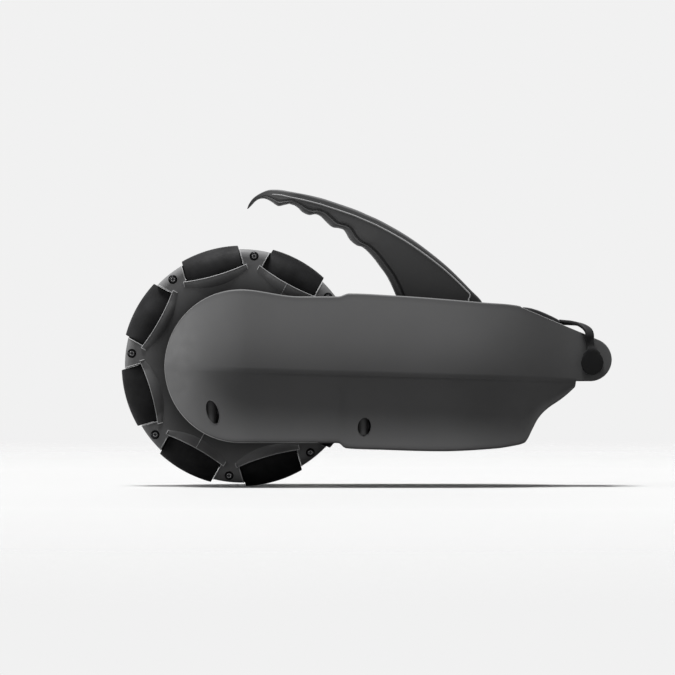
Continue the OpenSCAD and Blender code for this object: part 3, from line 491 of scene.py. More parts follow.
TOP_SHARES = [(0, 1), (0.168, 0.908), (0.277, 0.908), (0.309, 0.948), (0.432, 0.922), (0.692, 0.83),
              (0.796, 0.785), (0.803, 0.767)]
BOTTOM_SHARES = [(0, -1), (0.277, -1), (0.299, -1.067), (0.401, -1.087), (0.569, -1.107),
                 (0.726, -1.073), (0.777, -1.04), (0.81, -1), (0.819, -0.95), (0.831, -0.843),
                 (0.848, -0.698), (0.865, -0.605), (0.882, -0.54), (0.916, -0.437), (0.95, -0.305),
                 (0.957, -0.27)]
NOTCH_X = 0.96 * DOCK_X
NOSE_LOW = DOCK_UP - NOSE_R


def placed(share):
    return share[0] * DOCK_X, share[1] * ARM_R


SLOPE_AT = placed(TOP_SHARES[-1])
DOCK_FROM_SLOPE = (DOCK_X - SLOPE_AT[0], DOCK_UP - SLOPE_AT[1])
SLOPE = atan2(-DOCK_FROM_SLOPE[1], DOCK_FROM_SLOPE[0]) - asin(NOSE_R / hypot(*DOCK_FROM_SLOPE))
top_line = smooth_line([placed(s) for s in TOP_SHARES], first=0)
bottom_line = smooth_line([placed(s) for s in BOTTOM_SHARES] + [(NOTCH_X, NOSE_LOW), (DOCK_X, NOSE_LOW)],
                          first=0)


def slope_z(x):
    return SLOPE_AT[1] - (x - SLOPE_AT[0]) * tan(SLOPE)


def round_z(r, x):
    return sqrt(max(0, r * r - x * x))


def top_z(x, t):
    """Height of the casing's top; t is the depth under its face."""
    if x < 0:
        return round_z(ARM_R - t, x)
    if x < SLOPE_AT[0]:
        return top_line(x) - t
    if x < DOCK_X + (NOSE_R - t) * sin(SLOPE):
        return slope_z(x) - t / cos(SLOPE)
    return DOCK_UP + round_z(NOSE_R - t, x - DOCK_X)


def bottom_z(x, t):
    """Height of the casing's bottom."""
    if x < 0:
        return -round_z(ARM_R - t, x)
    if x < DOCK_X:
        return bottom_line(x) + t
    return DOCK_UP - round_z(NOSE_R - t, x - DOCK_X)


DOME_X = 6
DOME_IN = 33
TAPER_X = 0.44 * DOCK_X
TAPER_END = 0.95 * DOCK_X
TAPER_POWER = 2.2


def taper(x):
    """0 at the body to 1 at the nose."""
    return ease(portion(x - TAPER_X, TAPER_END - TAPER_X) ** TAPER_POWER)


def half_w(x):
    if x < DOME_X:
        return BODY_HW - DOME_IN * (1 - (x + ARM_R) / (DOME_X + ARM_R)) ** 2
    return BODY_HW - (BODY_HW - NOSE_HW) * taper(x)


LEAN_IN = 11
NOSE_EASE = 0.65
LEAN_SHARES = (1.5, -0.5)
TUCK_IN = 12
TUCK_SHARES = (2.4, -3.57, 1.12)
SHELF_IN = 1.2
SHELF_DROP = 2.4
SHELF_RUN = 20
EDGE_R = 1.5
EDGE_SHARE = 0.25
NOSE_SHARP = 0.3
CREASE_UP = -4.2
CREASE_RISE = -0.029
CREASE_ROOM = 4
CREASE_SHARE = 0.4
CREASE_ENDS = (-45, 6)
SHELF_ENDS = (-12, 40)


def crease_line(x):
    return CREASE_UP + CREASE_RISE * x


def crease_z(x, t):
    low = bottom_z(x, t)
    return max(crease_line(x), low + min(CREASE_ROOM, CREASE_SHARE * (top_z(x, t) - low)))


def crease_depth(x):
    """Height of the crease above the bottom, which fades out towards the round end."""
    fade = portion(x - CREASE_ENDS[0], CREASE_ENDS[1] - CREASE_ENDS[0])
    return (crease_line(x) - bottom_z(x, 0)) * ease(fade)


LEAN_TOPS = [(0, 60), (46, 57.4), (85, 56.6), (118, 55.3), (190, 49.8), (218, 47.1), SLOPE_AT]
TUCK_LOWS = [(0, -60), (40, -62), (80, -64), (110, -65.3), (156, -66.4), (199, -64.4)]
lean_top = smooth_line(LEAN_TOPS, first=0)
tuck_low = smooth_line(TUCK_LOWS, first=0)
TUCK_END = TUCK_LOWS[-1][0]


def flank(x, z, t):
    """Half width of the body at height z: leaning in above the crease, hollow below it."""
    top = lean_top(x) - t if 0 < x < SLOPE_AT[0] else top_z(x, t)
    low = tuck_low(x) + t if 0 < x < TUCK_END else bottom_z(x, t)
    crease, base = crease_z(x, t), crease_line(x)
    lean = LEAN_IN * (1 - NOSE_EASE * taper(x)) * portion(top_z(x, 0) - base, ARM_R)
    s = portion(z - base, top - base)
    width = half_w(x) - t - lean * s * s * (LEAN_SHARES[0] + LEAN_SHARES[1] * s)
    if z >= crease:
        return width
    s = portion(crease - z, crease - low)
    tuck = TUCK_IN * portion(crease_depth(x), ARM_R)
    drop = ease(portion(crease - z, SHELF_DROP))
    fade = portion(x - SHELF_ENDS[0], SHELF_ENDS[1] - SHELF_ENDS[0])
    shelf = SHELF_IN * portion(crease_depth(x), SHELF_RUN) * drop * fade
    return width - shelf - tuck * s * (TUCK_SHARES[0] + TUCK_SHARES[1] * s + TUCK_SHARES[2] * s * s)


ARCH_ROOM = 5
ARCH_R = WHEEL_R + ARCH_ROOM
ARCH_TOP_X = sqrt(ARCH_R ** 2 - (TOP_SHARES[3][1] * ARM_R) ** 2) + GAP
ARCH_LOW_X = sqrt(ARCH_R ** 2 - (BOTTOM_SHARES[2][1] * ARM_R) ** 2) + GAP
HANDLE_FROM, HANDLE_TO = 0.443 * DOCK_X, 0.6928 * DOCK_X
PANEL_FROM, PANEL_TO = 0.808 * DOCK_X, 0.918 * DOCK_X
SLOT_AHEAD = 16.3
SLOT_FROM = PANEL_TO + SLOT_AHEAD
STEP_RUN = 0.2
GRIP_BASE = 0.88
HANDLE_ROOM = 0.8
ROLL_EDGE = 3.8
ROLL_IN = 0.8


def rolled(up, edge):
    """Share of the grip's half width at a distance from its finger side."""
    return 1 if up >= edge else 1 - ROLL_IN * (1 - sqrt(1 - (1 - max(0, up) / edge) ** 2))


def top_rim(x):
    """Distance of the casing's top edge from the middle; it leaves room for what comes through."""
    if x < ARCH_TOP_X:
        return ARM_IN
    if HANDLE_FROM < x < HANDLE_TO:
        return GRIP_BASE * HANDLE_HW * rolled(x - HANDLE_FROM, ROLL_EDGE) + HANDLE_ROOM
    if PANEL_FROM < x < PANEL_TO:
        return PANEL_HW + GAP
    return SLOT_HW if x > SLOT_FROM else SEAM


def bottom_rim(x):
    """The same for its bottom edge."""
    if x < ARCH_LOW_X:
        return ARM_IN
    return SLOT_HW if x > NOTCH_X else SEAM


STATION = 2
REAR_TURNS = arc(30, 0.6, 89)
NOSE_TURNS = arc(26, 1.2, 89)
ROLL_TURNS = arc(8, 20, 90)
SLOPE_SPOTS = [0.5 * k for k in range(-8, 34)]
NOTCH_SPOTS = [0.1 * k for k in range(-12, 6)]
LEAST_STEP = 0.04


def shell_stations():
    """Places along the shell, closer together where its outline turns."""
    spots = [-ARM_R * cos(a) for a in REAR_TURNS]
    spots += [STATION * k for k in range(int(DOCK_X / STATION) + 1)]
    spots += [SLOPE_AT[0] + ahead for ahead in SLOPE_SPOTS]
    spots += [NOTCH_X + ahead for ahead in NOTCH_SPOTS]
    spots += [DOCK_X + NOSE_R * cos(a) for a in NOSE_TURNS]
    spots += [HANDLE_FROM + ROLL_EDGE * (1 - cos(a)) for a in ROLL_TURNS]
    steps = (ARCH_TOP_X, ARCH_LOW_X, HANDLE_FROM, HANDLE_TO, PANEL_FROM, PANEL_TO, SLOT_FROM, NOTCH_X)
    spots += [x + side * STEP_RUN for x in steps for side in (-1, 1)]
    spots.sort()
    return [x for k, x in enumerate(spots) if k == 0 or x - spots[k - 1] > LEAST_STEP]


LIP_R = 0.5
LIP_SHARE = 0.2
LIP_TURNS = arc(3)
EDGE_TURNS = arc(7)
FLAT_STEPS = 4
UP_STEPS = 16
SHELF_STEPS = 6
LOW_STEPS = 20
END_RUN = 20


def edge_r(x, t):
    """Radius of the shell's rounded edges."""
    tall = top_z(x, t) - bottom_z(x, t)
    return min(EDGE_R - NOSE_SHARP * taper(x), EDGE_SHARE * tall) - t * EDGE_SHARE


def shell_section(x, t, rim_x):
    """One row of the shell's skin, from its top rim over the flank to its bottom rim."""
    zt, zb, zc = top_z(x, t), bottom_z(x, t), crease_z(x, t)
    f = edge_r(x, t)
    yt, yb = flank(x, zt - f, t), flank(x, zb + f, t)
    lip = 0 if t else min(LIP_R, LIP_SHARE * (zt - zb))
    rim_t, rim_b = top_rim(rim_x), bottom_rim(rim_x)
    row = corner(rim_t, zt, -lip, lip, LIP_TURNS)
    row += [(y, zt) for y in evenly(rim_t + lip, yt - f, FLAT_STEPS)[1:-1]]
    row += corner(yt, zt, f, f, EDGE_TURNS)[::-1]
    under = max(zc - SHELF_DROP, (zc + zb + f) / 2)
    heights = evenly(zt - f, zc, UP_STEPS)[1:] + evenly(zc, under, SHELF_STEPS)[1:]
    heights += evenly(under, zb + f, LOW_STEPS)[1:-1]
    row += [(flank(x, z, t), z) for z in heights]
    row += corner(yb, zb, f, -f, EDGE_TURNS)
    row += [(y, zb) for y in evenly(yb - f, rim_b + lip, FLAT_STEPS)[1:-1]]
    row += corner(rim_b, zb, -lip, -lip, LIP_TURNS)[::-1]
    return [(x, z, y) for y, z in row]


def shell_skin(side):
    """Both faces of one casing half, joined round their edges."""
    spots = shell_stations()
    rows = []
    for x in spots:
        shift = portion(spots[0] + END_RUN - x, END_RUN) - portion(x - spots[-1] + END_RUN, END_RUN)
        outer = shell_section(x, 0, x)
        inner = shell_section(x + WALL * shift, WALL, x)
        rows.append([(u, z, side * y) for u, z, y in outer + inner[::-1]])
    points, faces = grid(rows, ends=False)
    n = len(rows[0])
    for base in (0, len(points) - n):
        faces += [(base + j, base + j + 1, base + n - 2 - j, base + n - 1 - j) for j in range(n // 2 - 1)]
    return points, faces


def well_outline(well, grow):
    """Points round a screw well, a tilted oval, seen from the side."""
    (cx, cy), (across, along), tilt = well
    b = radians(tilt)
    spots = []
    for a in circle(WELL_SEGMENTS):
        u, v = (across + grow) * cos(a), (along + grow) * sin(a)
        spots.append((cx + u * cos(b) - v * sin(b), cy + u * sin(b) + v * cos(b)))
    return spots


def well_cutter(well, side):
    """The room of a screw well."""
    outline = well_outline(well, 0)
    return grid([[(x, y, side * z) for x, y in outline] for z in (WELL_FLOOR, BODY_HW + OVERRUN)])


def well_mouth(outline, under, side):
    """A well's outline a little under the shell's face."""
    return [(x, y, side * (flank(x, y, 0) - under)) for x, y in outline]


def well_tube(well, side):
    """The wall and floor of a screw well, up to the middle of the shell's wall."""
    inner, outer = well_outline(well, 0), well_outline(well, WELL_WALL)
    base = [(x, y, side * ARM_OUT) for x, y in outer]
    floor = [(x, y, side * WELL_FLOOR) for x, y in inner]
    return grid([base, well_mouth(outer, WALL / 2, side), well_mouth(inner, WALL / 2, side), floor])


LINE_R = 0.3
LINE_SINK = 0.1
RIB_R = 4.6
RIB_ASIDE = -1.6
RIB_UNDER = 3
RIB_STEPS = 16
RIB_SIDES = 40
ROUND_LINE_TO = (-18, 62)
SLOPE_LINE_PAST = 9
CASING_SHARP = 38


def well_edge(well, side):
    """A fine worn edge round the mouth of a screw well."""
    spots = well_mouth(well_outline(well, SEAM), LINE_SINK, side)
    return bead(spots + spots[:1], LINE_R)


def well_rib(well, side):
    """An upright round rib inside a screw well, a little under the shell's face."""
    (cx, cy), (_, along), _ = well
    heights = evenly(cy - along, cy + along, RIB_STEPS)
    path = [(cx + RIB_ASIDE, y, side * (flank(cx, y, 0) - RIB_UNDER - RIB_R)) for y in heights]
    return bead(path, RIB_R, RIB_SIDES)


def edge_spot(x, side, up):
    """The middle of the shell's rounded edge at x: the upper one, or the lower one."""
    zt, zb, f = top_z(x, 0), bottom_z(x, 0), edge_r(x, 0)
    inset = f * (1 - sqrt(0.5))
    wide = flank(x, zt - f if up else zb + f, 0)
    return x, zt - inset if up else zb + inset, side * (wide - inset)


def casing_lines(side):
    """Beads on the edges of one casing half, round its rear end and along the slope of the nose, in a lighter
    colour that paints their highlight.
    """
    spots = shell_stations()
    rear = [edge_spot(x, side, True) for x in reversed(spots) if x < ROUND_LINE_TO[0]]
    rear += [edge_spot(x, side, False) for x in spots if x < ROUND_LINE_TO[1]]
    slope = [edge_spot(x, side, True) for x in spots if SLOPE_AT[0] < x < DOCK_X + SLOPE_LINE_PAST]
    return joined(bead(rear, LINE_R), bead(slope, LINE_R))


def block(low, high):
    """A box between two corners."""
    (x0, y0, z0), (x1, y1, z1) = low, high
    rows = [[(x, y0, z0), (x, y1, z0), (x, y1, z1), (x, y0, z1)] for x in (x0, x1)]
    return grid(rows)


def casing_half(name, side, node, opening):
    """One half of the casing with its wells, less an opening, and its edge beads with painted highlight."""
    obj = mesh_object(name, shell_skin(side))
    cut(obj, opening, *[well_cutter(w, side) for w in WELLS])
    for well in WELLS:
        for make in (well_tube, well_rib, well_edge):
            add_skin(obj, make(well, side))
    dress(obj, "casing", stands_for=[node], sharp=CASING_SHARP)
    # The edge beads get the lighter colour: painted highlight
    dress(mesh_object(name + "_edges", casing_lines(side)), "casing", finish=CASING_HIGHLIGHT)


CHEEK_RIM = 4
CHEEK_FROM = DOCK_X - WINDOW_R - CHEEK_RIM
CHEEK_SEAM = 0.25
socket_hole = pipe(axis_at(*SOCKET_AT, 1), SOCKET_R_OUT + SEAM, SLOT_HW, FAR)
cheek_room = block((CHEEK_FROM, -FAR, -FAR), (DOCK_X + FAR, FAR, FAR))
casing_half("casing_right", 1, "right_shell", socket_hole)
casing_half("casing_left", -1, "left_shell", cheek_room)
cheek = mesh_object("cheek_left", shell_skin(-1))
cut(cheek, pipe(axis_at(DOCK_X, DOCK_UP, -1), WINDOW_R, SLOT_HW - WALL, FAR),
    block((-FAR, -FAR, -FAR), (CHEEK_FROM + CHEEK_SEAM, FAR, FAR)))
dress(cheek, "casing", stands_for=["left_cheek"], sharp=CASING_SHARP)

# Wheel

PLATE_SEGMENTS = 240
BORE_SEGMENTS = 32
RIM_TURNS = arc(14)
PLATE_SHARP = 34


def barrel_r(t):
    """Radius of a roller at a distance from its middle, on the wheel's circle."""
    return sqrt(WHEEL_R ** 2 - t * t) - ROLLER_AXIS_R


def on_roller(k):
    """Places (out from the roller's axis, along it, to the right) of roller k in the side frame."""
    a = radians(WHEEL_TURN + ROLLER_STEP * (k - 1))

    def place(out, along, right):
        r = ROLLER_AXIS_R + out
        return r * cos(a) - along * sin(a), r * sin(a) + along * cos(a), right

    return place


def plate_top(r):
    """Height of the wheel plate's face at a radius, with its rounded rim."""
    s = portion(r - PLATE_R + RIM_ROUND, RIM_ROUND)
    return PLATE_HW - RIM_DROP * (1 - sqrt(1 - s * s))


def plate_disc(side):
    """A wheel plate before its pockets are cut."""
    rim = corner(PLATE_R, PLATE_HW, RIM_ROUND, RIM_DROP, RIM_TURNS)
    profile = [(MOTOR_R + SEAM, SEAM), (PLATE_R, SEAM)] + rim + [(MOTOR_R + SEAM, PLATE_HW)]
    return ring(profile, axis_at(0, 0, side), PLATE_SEGMENTS)


HUMP_PAST = 1.9
HUMP_HALF = POCKET_HALF + HUMP_PAST
HUMP_STEPS = 40
SLOPE_STEPS = 12
SLOPE_POWER = 3
UNDER_STEPS = 10
POCKET_STEPS = 24
POCKET_TURNS = 24
HUMP_SINK = 0.4
LIP_MID, LIP_BOW = -1.7, 2
FOOT_MID, FOOT_BOW = -10, 6.3
LIP_RISE = 0.7
LIP_ROUND = 0.45
ROUND_TURNS = arc(5)


def lip_out(t):
    """Where the cut edge over a roller lies, at a place along it; it bows towards the hub."""
    return LIP_MID + LIP_BOW * (t / HUMP_HALF) ** 2


def foot_out(t):
    """Where the hump over a roller meets the plate."""
    return FOOT_MID + FOOT_BOW * (t / HUMP_HALF) ** 2


def room_r(t):
    """Radius of the room round a roller."""
    return barrel_r(min(abs(t), POCKET_HALF)) + POCKET_ROOM


def lip_top(t):
    """Height of the lip over a roller."""
    return max(sqrt(room_r(t) ** 2 - lip_out(t) ** 2) + HUMP_WALL, PLATE_HW + LIP_RISE)


def pocket_cutter(k, side):
    """The room for one roller, open above the lip; the left plate's fits closer."""
    place = on_roller(k)
    half = POCKET_HALF if side > 0 else ROLLER_LEN / 2 + CLOSE_ROOM
    rows = []
    for t in evenly(-half, half, POCKET_STEPS):
        r, lip = room_r(t), lip_out(t)
        start = degrees(asin(-lip / r))
        row = [(-r * sin(a), r * cos(a)) for a in arc(POCKET_TURNS, start, 180 - start)]
        row += [(lip, -FAR), (FAR, -FAR), (FAR, FAR), (lip, FAR)]
        rows.append([place(out, t, side * right) for out, right in row])
    return grid(rows)


def hump_slope(t):
    """The hump's face as (out, right), from its foot to its lip; it is steepest at the foot."""
    foot, end, top = foot_out(t), lip_out(t) - LIP_ROUND, lip_top(t)
    return [(foot + (end - foot) * s, PLATE_HW + (top - PLATE_HW) * (1 - (1 - s) ** SLOPE_POWER))
            for s in evenly(0, 1, SLOPE_STEPS)]


def hump(k, side):
    """The low bulge of the wheel plate over one roller, up to a rounded lip."""
    place = on_roller(k)
    rows = []
    for t in evenly(-HUMP_HALF, HUMP_HALF, HUMP_STEPS):
        r, lip, foot, top = room_r(t), lip_out(t), foot_out(t), lip_top(t)
        row = [(foot, PLATE_HW - HUMP_SINK)] + hump_slope(t)
        row += corner(lip, top, LIP_ROUND, LIP_ROUND, ROUND_TURNS)[::-1]
        under = evenly(lip, foot, UNDER_STEPS)
        row += [(out, max(round_z(r, out), PLATE_HW - 2 * HUMP_SINK)) for out in under]
        rows.append([place(out, t, side * right) for out, right in row])
    return grid(rows)


EDGE_BEAD = 0.32
LIP_BEAD = 0.36
SEAM_BEAD = 0.2
SEAM_END = 58
SEAM_ROLLERS = (2, 6)
POCKET_EDGE_TURNS = arc(16)


def pocket_edges(k, side):
    """Fine rounded edges down both sides of a roller's pocket."""
    place = on_roller(k)
    skins = []
    for t in (-POCKET_HALF, POCKET_HALF):
        low, top = lip_out(t), sqrt(PLATE_R ** 2 - t * t) - ROLLER_AXIS_R
        outs = [low + (top - low) * sin(a) for a in POCKET_EDGE_TURNS]
        path = [place(out, t, side * plate_top(hypot(ROLLER_AXIS_R + out, t))) for out in outs]
        skins.append(bead(path + [place(top, t, 0)], EDGE_BEAD))
    return joined(*skins)


def lip_edge(k, side):
    """A bead along the lip over a roller and down both of its ends; its lighter colour paints the lip's
    highlight.
    """
    place = on_roller(k)
    spots = [(lip_out(t) - LIP_ROUND / 2, t, lip_top(t) - LIP_BEAD / 2)
             for t in evenly(-HUMP_HALF, HUMP_HALF, HUMP_STEPS)]
    end = [(out, HUMP_HALF, right) for out, right in hump_slope(HUMP_HALF)[::-2]]
    start = [(out, -HUMP_HALF, right) for out, right in hump_slope(HUMP_HALF)[::2]]
    return bead([place(out, t, side * right) for out, t, right in start + spots + end], LIP_BEAD)


def mould_seam(k, side):
    """The line where the plate's two mould halves met, from a roller's lip towards the hub."""
    place = on_roller(k)
    spots = hump_slope(0)[::-1] + [(SEAM_END - ROLLER_AXIS_R, PLATE_HW)]
    return bead([place(out, 0, side * right) for out, right in spots], SEAM_BEAD)


def post_place(k, side):
    """Places (u, v, height) about a screw post, halfway between two rollers."""
    a = radians(WHEEL_TURN + ROLLER_STEP * (k - 0.5))
    return axis_at(POST_R * cos(a), POST_R * sin(a), side)


def wheel_plate(name, side, node):
    """One wheel plate with its pockets, humps and screw bores, and its edge beads with painted highlight."""
    obj = mesh_object(name, plate_disc(side))
    pockets = joined(*[pocket_cutter(k, side) for k in ROLLERS])
    bore = [(POST_HEAD_R + GAP, PLATE_HW - POST_HEAD_DEEP), (POST_HEAD_R + GAP, FAR)]
    bores = joined(*[lathe(bore, post_place(k, side), BORE_SEGMENTS) for k in ROLLERS])
    cut(obj, pockets, bores)
    for k in ROLLERS:
        add_skin(obj, hump(k, side))
    dress(obj, "wheel_moulding", "wheel", [node], sharp=PLATE_SHARP, even=True)
    edges = [make(k, side) for make in (pocket_edges, lip_edge) for k in ROLLERS]
    edges += [mould_seam(k, side) for k in SEAM_ROLLERS]
    # The edge and seam beads get the lighter colour: painted highlight
    dress(mesh_object(name + "_edges", joined(*edges)), "wheel_moulding", "wheel", finish=PLATE_HIGHLIGHT)


wheel_plate("plate_right", 1, "right_wheel_plate")
wheel_plate("plate_left", -1, "left_wheel_plate")

TREAD_ROUND = 0.8
TREAD_FACE = 3 * TREAD_ROUND
TREAD_STEPS = 20


def tread(k):
    """The rubber of one roller: a barrel with rounded ends."""
    place = on_roller(k)
    half, r = ROLLER_LEN / 2, TREAD_ROUND
    shoulder = barrel_r(half - r)
    profile = [(ROLLER_CORE_R, half), (barrel_r(half) - TREAD_FACE, half)]
    profile += corner(shoulder, half, r, r, ROUND_TURNS)[::-1]
    profile += [(barrel_r(t), t) for t in evenly(half - r, r - half, TREAD_STEPS)[1:-1]]
    profile += corner(shoulder, -half, r, -r, ROUND_TURNS)
    profile += [(barrel_r(half) - TREAD_FACE, -half), (ROLLER_CORE_R, -half)]
    obj = mesh_object(f"tread_{k}", ring(profile, lambda u, v, t: place(u, t, v), FINE_SEGMENTS))
    dress(obj, "roller_rubber", f"free_roller_{k}", [f"roller_{k}"])


for number in ROLLERS:
    tread(number)

HEAD_UNDER = 1
HEAD_SINK = 0.9
HEAD_SEGMENTS = 36
HEAD_DOME = [(1, 0.9), (0.92, 0.45), (0.75, 0.15), (0.58, 0)]
RECESS_DEEP = 1.4
RECESS_SINK = 0.05
LOBES = 6
LOBE_MID, LOBE_SWING = 0.42, 0.08
TIP_SPOTS = [(0.5, -0.35), (0.36, 0), (0.5, 0.35)]
TIP_R = 0.13
TIP_SIDES = 6
HEAD_LOW = PLATE_HW - POST_HEAD_DEEP - HEAD_UNDER
HEAD_TOP = PLATE_HW - HEAD_SINK
RECESS_TOP = HEAD_TOP - RECESS_SINK


def screw_head(place):
    """A domed screw head with a six-lobed recess."""
    dome = [(POST_HEAD_R, HEAD_LOW)] + [(POST_HEAD_R * share, HEAD_TOP - drop) for share, drop in HEAD_DOME]
    rows = turned(dome, place, HEAD_SEGMENTS)
    lobes = [(a, POST_HEAD_R * (LOBE_MID + LOBE_SWING * cos(LOBES * a))) for a in circle(HEAD_SEGMENTS)]
    for h in (RECESS_TOP, HEAD_TOP - RECESS_DEEP):
        rows.append([place(r * cos(a), r * sin(a), h) for a, r in lobes])
    return grid(rows)


def recess_edges(place):
    """Bright beads on the tips between the lobes of a screw's recess: painted glints."""
    skins = []
    for turn in circle(LOBES):
        spots = [(POST_HEAD_R * share, turn + pi / LOBES + spread) for share, spread in TIP_SPOTS]
        skins.append(bead([place(r * cos(a), r * sin(a), RECESS_TOP) for r, a in spots], TIP_R, TIP_SIDES))
    return joined(*skins)


posts = [post_place(k, side) for k in ROLLERS for side in (-1, 1)]
heads, tips = (joined(*map(make, posts)) for make in (screw_head, recess_edges))
dress(mesh_object("plate_screw_heads", heads), "screw_black", "wheel", ["plate_screws"])
# The recess tips get the bright metal: painted glints
dress(mesh_object("plate_screw_tips", tips), "screw_black", "wheel", finish=SCREW_GLINT)

# Handle

GRIP_TOP = [(0.015, 0.893), (0.021, 0.921), (0.033, 0.952), (0.052, 0.978), (0.075, 0.997), (0.095, 1),
            (0.117, 0.997), (0.139, 0.989), (0.164, 0.98), (0.19, 0.97), (0.212, 0.96), (0.234, 0.949),
            (0.259, 0.933), (0.285, 0.916), (0.31, 0.899), (0.336, 0.88), (0.361, 0.858), (0.391, 0.832),
            (0.42, 0.802), (0.449, 0.77), (0.478, 0.735), (0.507, 0.696), (0.536, 0.653), (0.566, 0.606),
            (0.595, 0.557), (0.624, 0.502), (0.657, 0.435), (0.69, 0.367), (0.692, 0.32)]
GRIP_LOW = [(0.018, 0.892), (0.028, 0.912), (0.041, 0.938), (0.055, 0.95), (0.071, 0.948), (0.086, 0.932),
            (0.104, 0.909), (0.121, 0.915), (0.141, 0.921), (0.161, 0.899), (0.174, 0.874), (0.192, 0.858),
            (0.21, 0.863), (0.226, 0.85), (0.242, 0.819), (0.259, 0.79), (0.277, 0.784), (0.294, 0.77),
            (0.31, 0.719), (0.328, 0.688), (0.345, 0.677), (0.363, 0.648), (0.381, 0.608), (0.398, 0.563),
            (0.415, 0.517), (0.429, 0.466), (0.44, 0.417), (0.445, 0.388), (0.447, 0.32)]
GRIP_WIDE = [(0, 0.16), (4, 0.62), (8, 0.96), (18, 1), (25, GRIP_BASE), (28, GRIP_BASE)]
GRIP_STEPS = 8
GRIP_FULL = 20
GRIP_TURNS = arc(8)
GRIP_SHARP = 50
# Heights and depth of the painted shade at the grip's base
GRIP_SHADE_FROM, GRIP_SHADE_TO = 50, 98
GRIP_SHADE_DARKEST = 0.24
VALLEY = 6
VALLEY_END = 8
VALLEY_DEEP = 1.8
VALLEY_STEPS = 10
MIDDLE_STEPS = 8
TOP_ROUND = 2.4
RIDGE_DOWN = [(37, 3.9), (92, 5), (150, 4.5), (209, 2.7)]
RIDGE_TURN = [(0.8, -1.2), (0.7, -2.6), (-0.2, -4.6), (-0.9, -8)]
RIDGE_R = 0.62
RIDGE_SIDES = 10
FINGER_LINE = [(30, 0.3), (60, 0.5), (190, 0.6), (215, 0.6)]
FINGER_R = 0.42
SUNK_SHARE = 1 / 3

grip_wide = smooth_line(GRIP_WIDE)


def grip_half(k):
    """Half width of the grip at a step along it."""
    return grip_wide(k / GRIP_STEPS) * HANDLE_HW


def grip_curve(shares):
    """The line along the top or the finger side of the grip."""
    points = [(x * DOCK_X, z * HANDLE_H, 0) for x, z in shares]
    return curve_through(points, GRIP_STEPS)


grip_tops, grip_lows = grip_curve(GRIP_TOP), grip_curve(GRIP_LOW)


def grip_width(share, half, tall):
    """Half width of the grip at a share of its height from the top, down to its rolled edge."""
    scale = min(1, tall / GRIP_FULL)
    down, up = share * tall, (1 - share) * tall
    crown, roll = TOP_ROUND * scale, ROLL_EDGE * scale
    width = half
    if down < crown:
        width -= crown * (1 - sqrt(max(0, 1 - (1 - down / crown) ** 2)))
    if up < roll:
        width = half * rolled(up, roll)
    elif up < VALLEY * scale:
        width -= VALLEY_DEEP * scale * ease((up - roll) / (VALLEY * scale - roll))
    elif up < VALLEY_END * scale:
        width -= VALLEY_DEEP * scale * ease((VALLEY_END * scale - up) / ((VALLEY_END - VALLEY) * scale))
    return width


def grip_shares(tall):
    """Shares of the height at which the grip's section has points, closer at its edges."""
    scale = min(1, tall / GRIP_FULL)
    downs = [TOP_ROUND * scale * (1 - cos(a)) for a in GRIP_TURNS]
    ups = [ROLL_EDGE * scale * (1 - cos(a)) for a in GRIP_TURNS]
    ups += [scale * up for up in evenly(ROLL_EDGE, VALLEY_END, VALLEY_STEPS)[1:]]
    middle = evenly(downs[-1], tall - ups[-1], MIDDLE_STEPS)[1:-1]
    return [d / tall for d in downs + middle] + [1 - u / tall for u in reversed(ups)]


def grip_skin():
    """The grip, from its beak to its base."""
    rows = []
    for k, (a, b) in enumerate(zip(grip_tops, grip_lows)):
        tall, half = (a - b).length, grip_half(k)
        right = []
        for s in grip_shares(tall):
            p = a + (b - a) * s
            right.append((p.x, p.y, grip_width(s, half, tall)))
        rows.append(right + [(x, y, -w) for x, y, w in reversed(right)])
    return grid(rows)


def ridge(side):
    """A raised line along the grip's flank, under its top edge, that turns down at the base."""
    down = smooth_line(RIDGE_DOWN)
    path = []
    for k in range(RIDGE_DOWN[0][0], RIDGE_DOWN[-1][0] + 1):
        way = (grip_tops[k + 1] - grip_tops[k - 1]).normalized()
        p = grip_tops[k] + Vector((way.y, -way.x, 0)) * down(k)
        path.append(Vector((p.x, p.y, side * (grip_half(k) - RIDGE_R * SUNK_SHARE))))
    path += [path[-1] + Vector((across, up, 0)) for across, up in RIDGE_TURN]
    return bead(path, RIDGE_R, RIDGE_SIDES)


def finger_line(side):
    """A line along the rolled edge of the grip's finger side, whose lighter colour paints a highlight."""
    rise = smooth_line(FINGER_LINE)
    path = []
    for k in range(FINGER_LINE[0][0], FINGER_LINE[-1][0] + 1):
        up, rod = rise(k), grip_tops[k] - grip_lows[k]
        p = grip_lows[k] + rod.normalized() * up
        wide = grip_width(1 - up / rod.length, grip_half(k), rod.length)
        path.append(Vector((p.x, p.y, side * (wide - FINGER_R * SUNK_SHARE))))
    return bead(path, FINGER_R)


# Painted shade: the grip's colour darkens towards its base
paint_shade_below(FINISHES["grip_plastic"], at(0, GRIP_SHADE_FROM, 0).z, at(0, GRIP_SHADE_TO, 0).z, GRIP_SHADE_DARKEST)
dress(mesh_object("grip", grip_skin()), "grip_plastic", stands_for=["handle_grip"], sharp=GRIP_SHARP)
grip_lines = joined(ridge(1), ridge(-1), finger_line(1), finger_line(-1))
# The ridges and finger lines get the lighter colour: painted highlight
dress(mesh_object("grip_lines", grip_lines), "grip_plastic", finish=GRIP_HIGHLIGHT)

# Charge cap and strap

